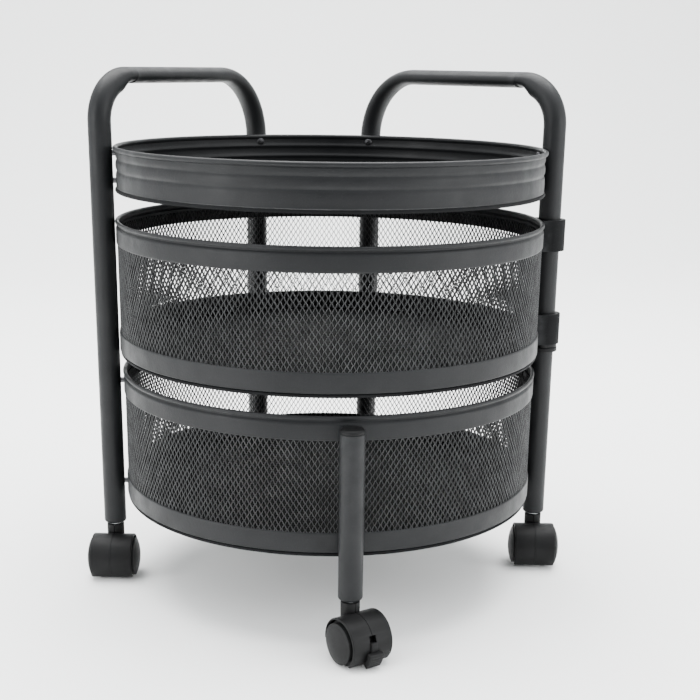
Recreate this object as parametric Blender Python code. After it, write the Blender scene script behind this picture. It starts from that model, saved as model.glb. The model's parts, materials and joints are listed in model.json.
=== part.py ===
"""Round three-tier rolling cart on four bent-tube posts and a short front leg.

A solid tray is fixed on top, a mesh basket is fixed at the bottom, and the basket between
them swings out about the right post.  Five twin-wheel casters carry the frame.  Lengths are
in metres, +Z is up, and the origin is the centre of the footprint on the floor.
"""
import math

import bmesh
import bpy
from mathutils import Matrix, Vector

# ---- Fits ------------------------------------------------------------------------------
TOUCH_GAP = 0.0003          # left between two pieces that touch
RUN_GAP = 0.0007            # between a wheel and its hood
SCREW_HOLE_GAP = 0.0004     # round a screw's shank

# ---- Tubes -----------------------------------------------------------------------------
TUBE_R = 0.011
TUBE_WALL = 0.0012
TUBE_SIDES = 16
POST_END_ROUND = 0.0024     # the turned-in edge at the foot of each post
FOOT_STEPS = 2
STEM_BLOCK_H = 0.030        # welded block that grips the caster's stem
HANDLE_RISE = 0.0705        # the handle's top above the tray's rim
SIDE_BEND_R = 0.0390        # the side post bends over tightly
BACK_BEND_R = 0.0660        # the back post bends over in a wide sweep
HANDLE_JOINT_RUN = 0.045    # from the side post's axis to the joint in the handle
GRIP_HALF_H = 0.0077        # the handle bar is pressed oval
GRIP_HALF_W = 0.0120
BEND_STEPS = 7
SIDE_OVAL_START = 0.75      # share of the side post's bend that stays round
BACK_OVAL_RATE = 1.15       # how fast the back post flattens through its bend
JOINER_LENGTH = 0.032
LEG_TOP_DROP = 0.0110       # the front leg's top, below the bottom basket's rim
LEG_CAP_H = 0.0045
CAP_SHOULDER = (0.93, 0.55)     # shares of the tube's radius and of the cap's height
CAP_CROWN = (0.60, 0.90)

# ---- Tiers -----------------------------------------------------------------------------
TIER_R = 0.2068             # outermost radius of the tray and of the swinging basket
LOW_TIER_INSET = 0.0022     # the fixed bottom basket is this much smaller in radius
POST_CLEARANCE = 0.0005     # between the swinging basket and the posts
BACK_POST_SPREAD = math.radians(17.0)
SHEET = 0.0010
RING_SEGMENTS = 40
TRAY_TOP_Z = 0.4294
TRAY_H = 0.0420
TRAY_GAP = 0.0260           # between the tray and the swinging basket
BASKET_H = 0.1290
BASKET_GAP = 0.0160         # between the two baskets
PAN_LIP_H = 0.0034
PAN_LIP_W = 0.0035
PAN_INSET = 0.0012          # the pan's lip stands this far inside the tier's outer radius
FLOOR_DROP = 0.0008         # the flat floor lies this far below the pan's edge
FLOOR_INSET = 0.0075        # from the pan's edge in to the flat floor
BEAD_STEPS = 6
TRAY_BEAD_R = 0.0023
TRAY_WALL_INSET = 0.0025
GROOVE_DEPTH = 0.0015
TRAY_RIBS = ((0.0132, 0.0078), (0.0234, 0.0118))   # depth below the rim, height
BASKET_BEAD_R = 0.0028
BEAD_INSET = 0.0006
SHOULDER_DROP = 0.00616     # the shoulder under the rolled rim
BAND_INSET = 0.0005
TOP_BAND_H = 0.0225
LOW_BAND_H = 0.0190
MESH_LAP = 0.0120           # the mesh runs this far behind the upper band

# ---- Fixings between tiers and posts ---------------------------------------------------
STUD_SIDES = 10
DRILL_START = 0.0010        # how far before the wall or the post a drilled hole starts
STUD_R = 0.0019
STUD_COLLAR_R = 0.0026
STUD_HEAD_R = 0.0027
STUD_HEAD_T = 0.0019
STUD_REACH = 0.0035         # how far the thread stands inside the post
TRAY_STUD_DROP = 0.0075     # below the tray's rim
BASKET_STUD_DROP = 0.0145   # below the bottom basket's rim
FRONT_STUD_DROP = 0.0186    # lower at the front leg, to clear its cap
LEG_STUD_RISE = 0.0100      # above the bottom basket's lower edge

# ---- Swing hinge on the right post -----------------------------------------------------
BUSH_RUN_GAP = 0.00035
BUSH_WALL = 0.0028
BUSH_HALF_ANGLE = math.radians(112.5)
BUSH_STEPS = 15
STRAP_T = 0.0015
STRAP_H = 0.0305
STRAP_TOP_DROP = 0.0010     # the upper strap's top, below the basket's rim
STRAP_STEPS = 12
COLLAR_H = 0.0045
COLLAR_R = 0.0145

# ---- Casters ---------------------------------------------------------------------------
WHEEL_R = 0.0208
WHEEL_SIDES = 16
WHEEL_FACE = 0.0210         # from the caster's middle to the wheel's flat rim
WHEEL_DOME = 0.0262         # from the caster's middle to the top of its domed face
DOME_FALL = 0.0008          # how far the dome has dropped at its inner ring
DOME_EDGE_RISE = 0.0006     # how far its outer ring stands above the flat rim
DOME_RINGS = (0.62, 0.92)   # shares of the wheel's radius
TREAD_ROUND = 0.0020        # the rounded outer edge of the tread
WEB_HALF = 0.0060           # half the thickness of the web between the wheels
HOOD_T = 0.0016
HOOD_HALF_W = 0.0208
HOOD_SIDES = 24
HOOD_FRONT_ANGLE = math.radians(-48.0)
HOOD_BACK_ANGLE = math.radians(185.0)
TRAIL = 0.0140
AXLE_R = 0.0024
AXLE_HALF = 0.0205
NECK_H = 0.0100             # from the hood's top to the foot of the post
STEM_R = 0.0038
STEM_SIDES = 12
STEM_BORE_GAP = 0.0004
STEM_FLANGE_R = 0.0066
STEM_FLANGE_T = 0.0012
BOSS_R = 0.0086
STEM_FOOT_RISE = 0.0045     # the stem's lower end above the axle's height
LEVER_SLOT_TOP = math.radians(28.0)
LEVER_SLOT_LOW = math.radians(-75.0)
LEVER_TOP = math.radians(12.0)
LEVER_LOW = math.radians(-25.0)
LEVER_HALF_W = 0.0031
LEVER_DEPTH = 0.0058
TAB_HALF_W = 0.0075
TAB_REACH = 0.0062
TAB_TOP = math.radians(-8.0)
TAB_LOW = math.radians(-40.0)
ARC_STEPS = 5

# ---- Values that follow ----------------------------------------------------------------
LOW_TIER_R = TIER_R - LOW_TIER_INSET
SWING_TOP_Z = TRAY_TOP_Z - TRAY_H - TRAY_GAP
LOW_TOP_Z = SWING_TOP_Z - BASKET_H - BASKET_GAP
HANDLE_TOP_Z = TRAY_TOP_Z + HANDLE_RISE
FRONT_LEG_TOP_Z = LOW_TOP_Z - LEG_TOP_DROP
POST_CIRCLE_R = TIER_R + POST_CLEARANCE + TUBE_R
POST_BOTTOM_Z = 2 * WHEEL_R + RUN_GAP + HOOD_T + NECK_H
STEM_FOOT_Z = WHEEL_R + STEM_FOOT_RISE
POST_ANGLES = {
    "left": math.pi,
    "right": 0.0,
    "back_left": math.pi / 2 + BACK_POST_SPREAD,
    "back_right": math.pi / 2 - BACK_POST_SPREAD,
    "front": -math.pi / 2,
}
CASTER_HEADING = math.radians(-97.0)
FRONT_CASTER_HEADING = math.radians(-62.0)
STEM_BORE_R = STEM_R + STEM_BORE_GAP
TUBE_BORE_R = TUBE_R - TUBE_WALL
HOOD_BORE_R = WHEEL_R + RUN_GAP
HOOD_R = HOOD_BORE_R + HOOD_T
BOSS_TOP_Z = POST_BOTTOM_Z - STEM_FLANGE_T - 2 * TOUCH_GAP
FACET_INSET = math.cos(math.pi / RING_SEGMENTS)    # a flat facet against its corners

# ---- Finishes: colour, roughness, metallic ---------------------------------------------
POWDER_COAT = ((0.105, 0.112, 0.118, 1.0), 0.45, 0.30)
BLACK_PLASTIC = ((0.030, 0.031, 0.033, 1.0), 0.50, 0.0)
BRIGHT_STEEL = ((0.62, 0.63, 0.65, 1.0), 0.25, 1.0)
DARK_STEEL = ((0.05, 0.05, 0.055, 1.0), 0.40, 0.8)


# ---- Helpers ---------------------------------------------------------------------------
def clear_scene():
    """Remove every object that the file holds."""
    for old in list(bpy.data.objects):
        bpy.data.objects.remove(old)


def finish_material(name, finish):
    """Make the Principled material of one sub-part."""
    colour, roughness, metallic = finish
    material = bpy.data.materials.new(name + "_finish")
    material.use_nodes = True
    shader = material.node_tree.nodes["Principled BSDF"]
    shader.inputs["Base Color"].default_value = colour
    shader.inputs["Roughness"].default_value = roughness
    shader.inputs["Metallic"].default_value = metallic
    return material


def link_object(name, mesh, parent):
    """Put a mesh into the scene as a named object under its parent."""
    obj = bpy.data.objects.new(name, mesh)
    bpy.context.scene.collection.objects.link(obj)
    obj.parent = parent
    return obj


def make_empty(name, parent, location, angle=0.0):
    """Make a guide point that pieces are placed from."""
    empty = bpy.data.objects.new(name, None)
    bpy.context.scene.collection.objects.link(empty)
    empty.parent = parent
    empty.location = location
    empty.rotation_euler = (0.0, 0.0, angle)
    return empty


def mesh_from(name, bm):
    """Turn a bmesh into a smooth-shaded mesh with its sharp edges kept."""
    bmesh.ops.remove_doubles(bm, verts=bm.verts, dist=1e-7)
    bmesh.ops.recalc_face_normals(bm, faces=bm.faces)
    mesh = bpy.data.meshes.new(name)
    bm.to_mesh(mesh)
    bm.free()
    mesh.shade_smooth()
    mesh.set_sharp_from_angle(angle=math.radians(32.0))
    return mesh


def add_piece(name, mesh, finish, parent):
    """Add one sub-part with a material of its own."""
    obj = link_object(name, mesh, parent)
    obj.data.materials.clear()
    obj.data.materials.append(finish_material(name, finish))
    return obj


def loft_rings(rings, closed):
    """Join rings of points into one skin; closed also joins the last ring to the first."""
    bm = bmesh.new()
    rows = [[bm.verts.new(point) for point in ring] for ring in rings]
    pairs = list(zip(rows, rows[1:]))
    if closed:
        pairs.append((rows[-1], rows[0]))
    for lower, upper in pairs:
        count = len(lower)
        for i in range(count):
            j = (i + 1) % count
            bm.faces.new((lower[i], lower[j], upper[j], upper[i]))
    if not closed:
        bm.faces.new(rows[0])
        bm.faces.new(rows[-1])
    return bm


def turned(profile, segments, closed=True):
    """Spin an (r, z) outline about Z; an open outline starts and ends on the axis."""
    bm = bmesh.new()
    verts = [bm.verts.new((radius, 0.0, height)) for radius, height in profile]
    edges = [bm.edges.new(pair) for pair in zip(verts, verts[1:])]
    if closed:
        edges.append(bm.edges.new((verts[-1], verts[0])))
    bmesh.ops.spin(bm, geom=verts + edges, cent=(0, 0, 0), axis=(0, 0, 1),
                   angle=2 * math.pi, steps=segments, use_merge=True)
    bmesh.ops.remove_doubles(bm, verts=bm.verts, dist=1e-6)
    return bm


def extruded(outline, half_width):
    """Extrude an (x, z) outline both ways along Y."""
    bm = bmesh.new()
    near = [bm.verts.new((x, -half_width, z)) for x, z in outline]
    far = [bm.verts.new((x, half_width, z)) for x, z in outline]
    bm.faces.new(near)
    bm.faces.new(list(reversed(far)))
    for i in range(len(outline)):
        j = (i + 1) % len(outline)
        bm.faces.new((near[i], near[j], far[j], far[i]))
    return bm


def cylinder(radius, start, end, segments):
    """Make a cylinder between two points."""
    axis = Vector(end) - Vector(start)
    turn = axis.to_track_quat("Z", "Y").to_matrix().to_4x4()
    place = Matrix.Translation((Vector(start) + Vector(end)) / 2) @ turn
    bm = bmesh.new()
    bmesh.ops.create_cone(bm, cap_ends=True, segments=segments, radius1=radius,
                          radius2=radius, depth=axis.length, matrix=place)
    return bm


def combine(base, tool_bm, operation):
    """Cut from a mesh, or add to it, with a Boolean; returns the new mesh."""
    target = link_object("work_piece", base, None)
    tool = link_object("work_tool", mesh_from("work_tool", tool_bm), None)
    change = target.modifiers.new("change", "BOOLEAN")
    change.operation = operation
    change.object = tool
    bpy.context.view_layer.update()
    graph = bpy.context.evaluated_depsgraph_get()
    result = bpy.data.meshes.new_from_object(target.evaluated_get(graph))
    result.name = base.name
    bpy.data.objects.remove(target)
    bpy.data.objects.remove(tool)
    return result


def arc_points(centre, radius, start, end, steps):
    """Points along an arc in a plane."""
    turns = [start + (end - start) * i / steps for i in range(steps + 1)]
    return [(centre[0] + radius * math.cos(t), centre[1] + radius * math.sin(t)) for t in turns]


def on_circle(radius, angle, height=0.0):
    """A point at a radius and angle about the vertical axis."""
    return Vector((radius * math.cos(angle), radius * math.sin(angle), height))


# ---- Fixings ---------------------------------------------------------------------------
def stud_mesh(wall_inner, wall_outer):
    """Turn a screw with its head inside the wall and its collar against the post."""
    post_face = POST_CIRCLE_R - TUBE_R
    seat = wall_inner * FACET_INSET - TOUCH_GAP
    head_in = seat - STUD_HEAD_T
    collar_in = wall_outer + TOUCH_GAP
    collar_out = post_face - TOUCH_GAP
    profile = [(0.0, head_in), (STUD_HEAD_R, head_in),
               (STUD_HEAD_R, seat), (STUD_R, seat),
               (STUD_R, collar_in), (STUD_COLLAR_R, collar_in),
               (STUD_COLLAR_R, collar_out), (STUD_R, collar_out),
               (STUD_R, post_face + STUD_REACH), (0.0, post_face + STUD_REACH)]
    return mesh_from("stud", turned(profile, STUD_SIDES, closed=False))


def add_stud(root, name, post, height, wall_inner, wall_outer):
    """Place one stud along the radius through a post."""
    stud = add_piece(name, stud_mesh(wall_inner, wall_outer), DARK_STEEL, root)
    angle = POST_ANGLES[post]
    stud.location = (0.0, 0.0, height)
    stud.rotation_euler = (0.0, math.pi / 2, angle)
    return stud


def stud_height(top, post):
    """Height of the stud that holds a basket with this rim to a post."""
    return top - (FRONT_STUD_DROP if post == "front" else BASKET_STUD_DROP)


def drill_for_studs(mesh, post_names, height, start, end):
    """Drill one radial hole for each post through a ring or a tube."""
    for post in post_names:
        angle = POST_ANGLES[post]
        drill = cylinder(STUD_R + SCREW_HOLE_GAP, on_circle(start, angle, height),
                         on_circle(end, angle, height), STUD_SIDES)
        mesh = combine(mesh, drill, "DIFFERENCE")
    return mesh


# ---- Bent tubes ------------------------------------------------------------------------
def section(centre, across, outward, half_w, half_h):
    """One oval ring of points about a centre."""
    ring = []
    for i in range(TUBE_SIDES):
        turn = 2 * math.pi * i / TUBE_SIDES
        ring.append(centre + across * (half_w * math.cos(turn))
                    + outward * (half_h * math.sin(turn)))
    return ring


def tube_rings(stations, across, inset):
    """Rings along a tube, from (point, outward, oval share); the bar's top stays level."""
    rings = []
    for point, outward, oval in stations:
        half_h = TUBE_R + (GRIP_HALF_H - TUBE_R) * oval
        half_w = TUBE_R + (GRIP_HALF_W - TUBE_R) * oval
        centre = point + outward * (TUBE_R - half_h)
        rings.append(section(centre, across, outward, half_w - inset, half_h - inset))
    return rings


def bend_stations(base, run, bend_r, oval_at):
    """Stations round a quarter bend from vertical into the run of the handle."""
    stations = []
    low_z = HANDLE_TOP_Z - TUBE_R - bend_r
    for i in range(BEND_STEPS + 1):
        turn = math.pi / 2 * i / BEND_STEPS
        rise = Vector((0, 0, low_z + bend_r * math.sin(turn)))
        point = base + run * (bend_r * (1 - math.cos(turn))) + rise
        outward = -run * math.cos(turn) + Vector((0, 0, math.sin(turn)))
        stations.append((point, outward, oval_at(i / BEND_STEPS)))
    return stations


def post_foot_rings(base, run, across):
    """Outer and inner rings of the foot, where a block grips the caster's stem."""
    outer = []
    for i in range(FOOT_STEPS + 1):
        turn = math.pi / 2 * i / FOOT_STEPS
        radius = TUBE_R - POST_END_ROUND * (1 - math.sin(turn))
        height = POST_BOTTOM_Z + POST_END_ROUND * (1 - math.cos(turn))
        outer.append(section(base + Vector((0, 0, height)), across, -run, radius, radius))
    block_top = POST_BOTTOM_Z + STEM_BLOCK_H
    inner = []
    for height, radius in ((POST_BOTTOM_Z, STEM_BORE_R), (block_top, STEM_BORE_R),
                           (block_top, TUBE_BORE_R)):
        inner.append(section(base + Vector((0, 0, height)), across, -run, radius, radius))
    return outer, inner


def bent_post_mesh(base, towards, joint_run, bend_r, oval_at):
    """A post that bends over into the handle and ends at the joint."""
    run = (towards - base).normalized()
    across = run.cross(Vector((0, 0, 1)))
    stations = bend_stations(base, run, bend_r, oval_at)
    handle_z = HANDLE_TOP_Z - TUBE_R
    joint = base + run * joint_run + Vector((0, 0, handle_z))
    stations.append((joint, Vector((0, 0, 1)), 1.0))
    foot_outer, foot_inner = post_foot_rings(base, run, across)
    outer = foot_outer + tube_rings(stations, across, 0.0)
    inner = foot_inner + tube_rings(stations, across, TUBE_WALL)
    return mesh_from("post", loft_rings(outer + inner[::-1], closed=True))


def side_oval(share):
    """The side post stays round until late in its bend."""
    return max(0.0, (share - SIDE_OVAL_START) / (1.0 - SIDE_OVAL_START))


def back_oval(share):
    """The back post flattens evenly through its bend."""
    return min(1.0, BACK_OVAL_RATE * share)


def build_posts(root):
    """Four posts, joined in pairs by the handles, with their drilled holes."""
    meshes = {}
    for side in ("left", "right"):
        base = on_circle(POST_CIRCLE_R, POST_ANGLES[side])
        back = on_circle(POST_CIRCLE_R, POST_ANGLES["back_" + side])
        span = (back - base).length
        half_gap = TOUCH_GAP / 2
        meshes[side] = bent_post_mesh(base, back, HANDLE_JOINT_RUN - half_gap, SIDE_BEND_R,
                                      side_oval)
        meshes["back_" + side] = bent_post_mesh(back, base, span - HANDLE_JOINT_RUN - half_gap,
                                                BACK_BEND_R, back_oval)
        build_joiner(root, side, base, back)
    for post, mesh in meshes.items():
        for height in (TRAY_TOP_Z - TRAY_STUD_DROP, LOW_TOP_Z - BASKET_STUD_DROP):
            mesh = drill_for_studs(mesh, (post,), height,
                                   POST_CIRCLE_R - TUBE_R - DRILL_START, POST_CIRCLE_R)
        add_piece(post + "_post", mesh, POWDER_COAT, root)


def build_joiner(root, side, base, back):
    """The oval plug inside a handle's joint."""
    run = (back - base).normalized()
    across = run.cross(Vector((0, 0, 1)))
    up = Vector((0, 0, 1))
    inset = TUBE_WALL + TOUCH_GAP
    start = SIDE_BEND_R + 2 * TUBE_WALL
    rings = []
    for distance in (start, start + JOINER_LENGTH):
        centre = base + run * distance + up * (HANDLE_TOP_Z - GRIP_HALF_H)
        rings.append(section(centre, across, up, GRIP_HALF_W - 2 * inset,
                             GRIP_HALF_H - 2 * inset))
    mesh = mesh_from("joiner", loft_rings(rings, closed=False))
    add_piece(side + "_handle_joiner", mesh, BRIGHT_STEEL, root)


def build_front_leg(root):
    """The short front leg, its cap, and the two studs that hold it."""
    base = on_circle(POST_CIRCLE_R, POST_ANGLES["front"])
    outward = base.normalized()
    across = outward.cross(Vector((0, 0, 1)))
    outer, inner = post_foot_rings(base, -outward, across)
    top = base + Vector((0, 0, FRONT_LEG_TOP_Z))
    outer.append(section(top, across, outward, TUBE_R, TUBE_R))
    inner.append(section(top, across, outward, TUBE_BORE_R, TUBE_BORE_R))
    mesh = mesh_from("leg", loft_rings(outer + inner[::-1], closed=True))
    for height in (stud_height(LOW_TOP_Z, "front"), LOW_TOP_Z - BASKET_H + LEG_STUD_RISE):
        mesh = drill_for_studs(mesh, ("front",), height, POST_CIRCLE_R - TUBE_R - DRILL_START,
                               POST_CIRCLE_R)
    add_piece("front_leg", mesh, POWDER_COAT, root)
    plug_r = TUBE_BORE_R - TOUCH_GAP
    seat = TOUCH_GAP
    profile = [(0.0, -LEG_CAP_H), (plug_r, -LEG_CAP_H), (plug_r, seat), (TUBE_R, seat),
               (TUBE_R * CAP_SHOULDER[0], LEG_CAP_H * CAP_SHOULDER[1]),
               (TUBE_R * CAP_CROWN[0], LEG_CAP_H * CAP_CROWN[1]), (0.0, LEG_CAP_H)]
    cap = add_piece("front_leg_cap", mesh_from("cap", turned(profile, TUBE_SIDES, closed=False)),
                    BLACK_PLASTIC, root)
    cap.location = top


# ---- Tiers -----------------------------------------------------------------------------
def tray_wall_profile():
    """Outline of the tray's wall: rolled bead, plain strip, two ribs, lower edge."""
    wall = TIER_R - TRAY_WALL_INSET
    bead = (TIER_R - TRAY_BEAD_R, TRAY_TOP_Z - TRAY_BEAD_R)
    outer = [(wall, TRAY_TOP_Z - 2 * TRAY_BEAD_R)]
    inner = [(wall - SHEET, TRAY_TOP_Z - 2 * TRAY_BEAD_R)]
    for drop, height in TRAY_RIBS:
        top = TRAY_TOP_Z - drop
        outer.append((wall, top + GROOVE_DEPTH * 2))
        outer.append((wall - GROOVE_DEPTH, top + GROOVE_DEPTH))
        outer.append((wall, top - GROOVE_DEPTH / 2))
        outer.append((wall + GROOVE_DEPTH / 4, top - height / 2))
        inner.append((wall - SHEET, top + GROOVE_DEPTH * 2))
        inner.append((wall - SHEET - GROOVE_DEPTH, top + GROOVE_DEPTH))
        inner.append((wall - SHEET, top - height / 2))
    low = TRAY_TOP_Z - TRAY_H + PAN_LIP_H + TOUCH_GAP
    outer.append((wall - GROOVE_DEPTH / 2, low))
    inner.append((wall - GROOVE_DEPTH / 2 - SHEET, low))
    rolled = arc_points(bead, TRAY_BEAD_R, math.radians(225), math.radians(-45), BEAD_STEPS)
    return rolled + outer + inner[::-1]


def upper_band_profile(top, radius):
    """Outline of a basket's upper band with its rolled rim and shoulder."""
    bead = (radius - BEAD_INSET - BASKET_BEAD_R, top - BASKET_BEAD_R)
    rolled = arc_points(bead, BASKET_BEAD_R, math.radians(225), math.radians(-30), BEAD_STEPS)
    shoulder = top - SHOULDER_DROP
    band = radius - BAND_INSET
    low = top - TOP_BAND_H
    outer = [(radius, shoulder), (radius, shoulder - 2 * SHEET), (band, shoulder - 4 * SHEET),
             (band, low)]
    inner = [(band - SHEET, low), (band - SHEET, shoulder)]
    return rolled + outer + inner


def straight_ring_profile(outer_r, low, high):
    """Outline of a plain sheet ring."""
    return [(outer_r, low), (outer_r, high), (outer_r - SHEET, high), (outer_r - SHEET, low)]


def pan_profile(low, radius):
    """Outline of a pan: a flat floor, a raised edge, and a lip rolled down outside it."""
    edge = radius - PAN_INSET
    top = low + PAN_LIP_H
    floor = top - FLOOR_DROP
    flat = edge - FLOOR_INSET
    return [(0.0, floor), (flat, floor), (flat + FLOOR_DROP, top), (edge - SHEET / 2, top),
            (edge, top - SHEET / 2), (edge, low + SHEET / 2), (edge - SHEET / 2, low),
            (edge - PAN_LIP_W, low), (edge - PAN_LIP_W - SHEET / 2, top - SHEET),
            (flat + FLOOR_DROP, top - SHEET), (flat, floor - SHEET), (0.0, floor - SHEET)]


def add_ring(root, name, profile, finish, closed=True):
    """Add a turned sheet piece."""
    return add_piece(name, mesh_from(name, turned(profile, RING_SEGMENTS, closed)), finish, root)


def build_tray(root):
    """The top tray: ribbed wall, floor pan and the four studs to the posts."""
    height = TRAY_TOP_Z - TRAY_STUD_DROP
    wall = TIER_R - TRAY_WALL_INSET
    posts = ("left", "right", "back_left", "back_right")
    mesh = mesh_from("tray_wall", turned(tray_wall_profile(), RING_SEGMENTS))
    mesh = drill_for_studs(mesh, posts, height, wall - 4 * SHEET, TIER_R)
    add_piece("tray_wall", mesh, POWDER_COAT, root)
    add_ring(root, "tray_pan", pan_profile(TRAY_TOP_Z - TRAY_H, TIER_R), POWDER_COAT, False)
    for post in posts:
        add_stud(root, "tray_stud_" + post, post, height, wall - SHEET, wall)


def build_basket(parent, name, top, radius, stud_posts):
    """One mesh basket: upper band, mesh wall, lower band and floor pan."""
    low = top - BASKET_H
    band = radius - BAND_INSET
    seat = low + PAN_LIP_H + TOUCH_GAP
    upper = mesh_from(name + "_upper_band", turned(upper_band_profile(top, radius),
                                                   RING_SEGMENTS))
    mesh_r = band - SHEET - TOUCH_GAP
    wall_profile = straight_ring_profile(mesh_r, seat, top - TOP_BAND_H + MESH_LAP)
    wall = mesh_from(name + "_mesh_wall", turned(wall_profile, RING_SEGMENTS))
    inner = mesh_r - SHEET
    for post in stud_posts:
        stud_z = stud_height(top, post)
        upper = drill_for_studs(upper, (post,), stud_z, inner - SHEET, radius + SHEET)
        wall = drill_for_studs(wall, (post,), stud_z, inner - SHEET, radius + SHEET)
    lower_profile = straight_ring_profile(band, seat, seat + LOW_BAND_H)
    lower = mesh_from(name + "_lower_band", turned(lower_profile, RING_SEGMENTS))
    if "front" in stud_posts:
        leg_z = low + LEG_STUD_RISE
        wall = drill_for_studs(wall, ("front",), leg_z, inner - SHEET, radius + SHEET)
        lower = drill_for_studs(lower, ("front",), leg_z, inner - SHEET, radius + SHEET)
        add_stud(parent, "front_leg_lower_stud", "front", leg_z, inner, band)
    add_piece(name + "_upper_band", upper, POWDER_COAT, parent)
    add_piece(name + "_mesh_wall", wall, POWDER_COAT, parent)
    add_piece(name + "_lower_band", lower, POWDER_COAT, parent)
    add_ring(parent, name + "_pan", pan_profile(low, radius), POWDER_COAT, False)
    for post in stud_posts:
        add_stud(parent, name + "_stud_" + post, post, stud_height(top, post), inner, band)


# ---- Swing hinge -----------------------------------------------------------------------
def strap_mesh():
    """A U-shaped strap round the post, its two legs ending on the basket."""
    inner_r = TUBE_R + BUSH_RUN_GAP + BUSH_WALL + TOUCH_GAP
    outer_r = inner_r + STRAP_T
    leg_end = math.sqrt((TIER_R + TOUCH_GAP) ** 2 - inner_r ** 2) - POST_CIRCLE_R
    outer = arc_points((0, 0), outer_r, -math.pi / 2, math.pi / 2, STRAP_STEPS)
    inner = arc_points((0, 0), inner_r, math.pi / 2, -math.pi / 2, STRAP_STEPS)
    outline = [(leg_end, -outer_r)] + outer + [(leg_end, outer_r), (leg_end, inner_r)]
    outline += inner + [(leg_end, -inner_r)]
    bm = extruded(outline, STRAP_H / 2)
    bmesh.ops.rotate(bm, verts=bm.verts, matrix=Matrix.Rotation(math.pi / 2, 3, "X"))
    return mesh_from("strap", bm)


def bush_mesh(height):
    """A C-shaped bush, open towards the basket."""
    inner_r = TUBE_R + BUSH_RUN_GAP
    outer_r = inner_r + BUSH_WALL
    outline = arc_points((0, 0), outer_r, -BUSH_HALF_ANGLE, BUSH_HALF_ANGLE, BUSH_STEPS)
    outline += arc_points((0, 0), inner_r, BUSH_HALF_ANGLE, -BUSH_HALF_ANGLE, BUSH_STEPS)
    bm = extruded(outline, height / 2)
    bmesh.ops.rotate(bm, verts=bm.verts, matrix=Matrix.Rotation(math.pi / 2, 3, "X"))
    return mesh_from("bush", bm)


def build_swing_hinge(root, swing):
    """Two straps and bushes on the swinging basket, and the collar that carries them."""
    low = SWING_TOP_Z - BASKET_H
    upper_top = SWING_TOP_Z - STRAP_TOP_DROP
    lower_bottom = low + PAN_LIP_H + TOUCH_GAP
    middles = {"upper": upper_top - STRAP_H / 2, "lower": lower_bottom + STRAP_H / 2}
    for level, middle in middles.items():
        strap = add_piece(level + "_hinge_strap", strap_mesh(), POWDER_COAT, swing)
        strap.location = (0, 0, middle)
        bush_low = middle - STRAP_H / 2 if level == "upper" else low + TOUCH_GAP
        bush_high = middle + STRAP_H / 2
        bush = add_piece(level + "_hinge_bush", bush_mesh(bush_high - bush_low),
                         BLACK_PLASTIC, swing)
        bush.location = (0, 0, (bush_low + bush_high) / 2)
    bore = TUBE_R + TOUCH_GAP
    profile = [(bore, -COLLAR_H), (COLLAR_R, -COLLAR_H), (COLLAR_R, 0.0), (bore, 0.0)]
    collar = add_piece("swing_stop_collar", mesh_from("collar", turned(profile, TUBE_SIDES)),
                       BLACK_PLASTIC, root)
    collar.location = (POST_CIRCLE_R, 0, low)


# ---- Casters ---------------------------------------------------------------------------
def hood_base_bmesh():
    """The outside of the hood: a drum with its underside cut away on a slant."""
    front = arc_points((0, 0), HOOD_R, HOOD_FRONT_ANGLE, HOOD_BACK_ANGLE, HOOD_SIDES)
    bm = extruded(front, HOOD_HALF_W)
    bmesh.ops.translate(bm, verts=bm.verts, vec=(TRAIL, 0, WHEEL_R))
    return bm


def hood_mesh(with_slot):
    """The moulded hood with its boss, wheel bays, stem bore and axle bore."""
    mesh = mesh_from("hood", hood_base_bmesh())
    boss = cylinder(BOSS_R, (0, 0, WHEEL_R), (0, 0, BOSS_TOP_Z), TUBE_SIDES)
    mesh = combine(mesh, boss, "UNION")
    for side in (-1, 1):
        bay = cylinder(HOOD_BORE_R, (TRAIL, side * WEB_HALF, WHEEL_R),
                       (TRAIL, side * 2 * WHEEL_DOME, WHEEL_R), HOOD_SIDES)
        mesh = combine(mesh, bay, "DIFFERENCE")
    bore = cylinder(STEM_BORE_R, (0, 0, STEM_FOOT_Z - TOUCH_GAP), (0, 0, POST_BOTTOM_Z),
                    STEM_SIDES)
    mesh = combine(mesh, bore, "DIFFERENCE")
    axle = cylinder(AXLE_R + TOUCH_GAP, (TRAIL, -HOOD_HALF_W, WHEEL_R),
                    (TRAIL, HOOD_HALF_W, WHEEL_R), STEM_SIDES)
    mesh = combine(mesh, axle, "DIFFERENCE")
    if with_slot:
        mesh = combine(mesh, sector_bmesh(HOOD_R - LEVER_DEPTH - TOUCH_GAP, 2 * HOOD_R,
                                          LEVER_SLOT_LOW, LEVER_SLOT_TOP,
                                          LEVER_HALF_W + TOUCH_GAP), "DIFFERENCE")
    return mesh


def sector_bmesh(inner_r, outer_r, low, high, half_width):
    """A block between two radii and two angles about the axle."""
    outline = arc_points((0, 0), outer_r, low, high, ARC_STEPS)
    outline += arc_points((0, 0), inner_r, high, low, ARC_STEPS)
    bm = extruded(outline, half_width)
    bmesh.ops.translate(bm, verts=bm.verts, vec=(TRAIL, 0, WHEEL_R))
    return bm


def wheel_mesh():
    """One wheel with a domed face and a blind bore, turned about Z from the caster's middle."""
    inner = WEB_HALF + RUN_GAP
    bore = AXLE_R + TOUCH_GAP
    profile = [(0.0, WHEEL_DOME), (WHEEL_R * DOME_RINGS[0], WHEEL_DOME - DOME_FALL),
               (WHEEL_R * DOME_RINGS[1], WHEEL_FACE + DOME_EDGE_RISE),
               (WHEEL_R, WHEEL_FACE - TREAD_ROUND),
               (WHEEL_R, inner + SHEET), (WHEEL_R - SHEET, inner), (bore, inner),
               (bore, AXLE_HALF + TOUCH_GAP), (0.0, AXLE_HALF + TOUCH_GAP)]
    return mesh_from("wheel", turned(profile, WHEEL_SIDES, closed=False))


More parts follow.
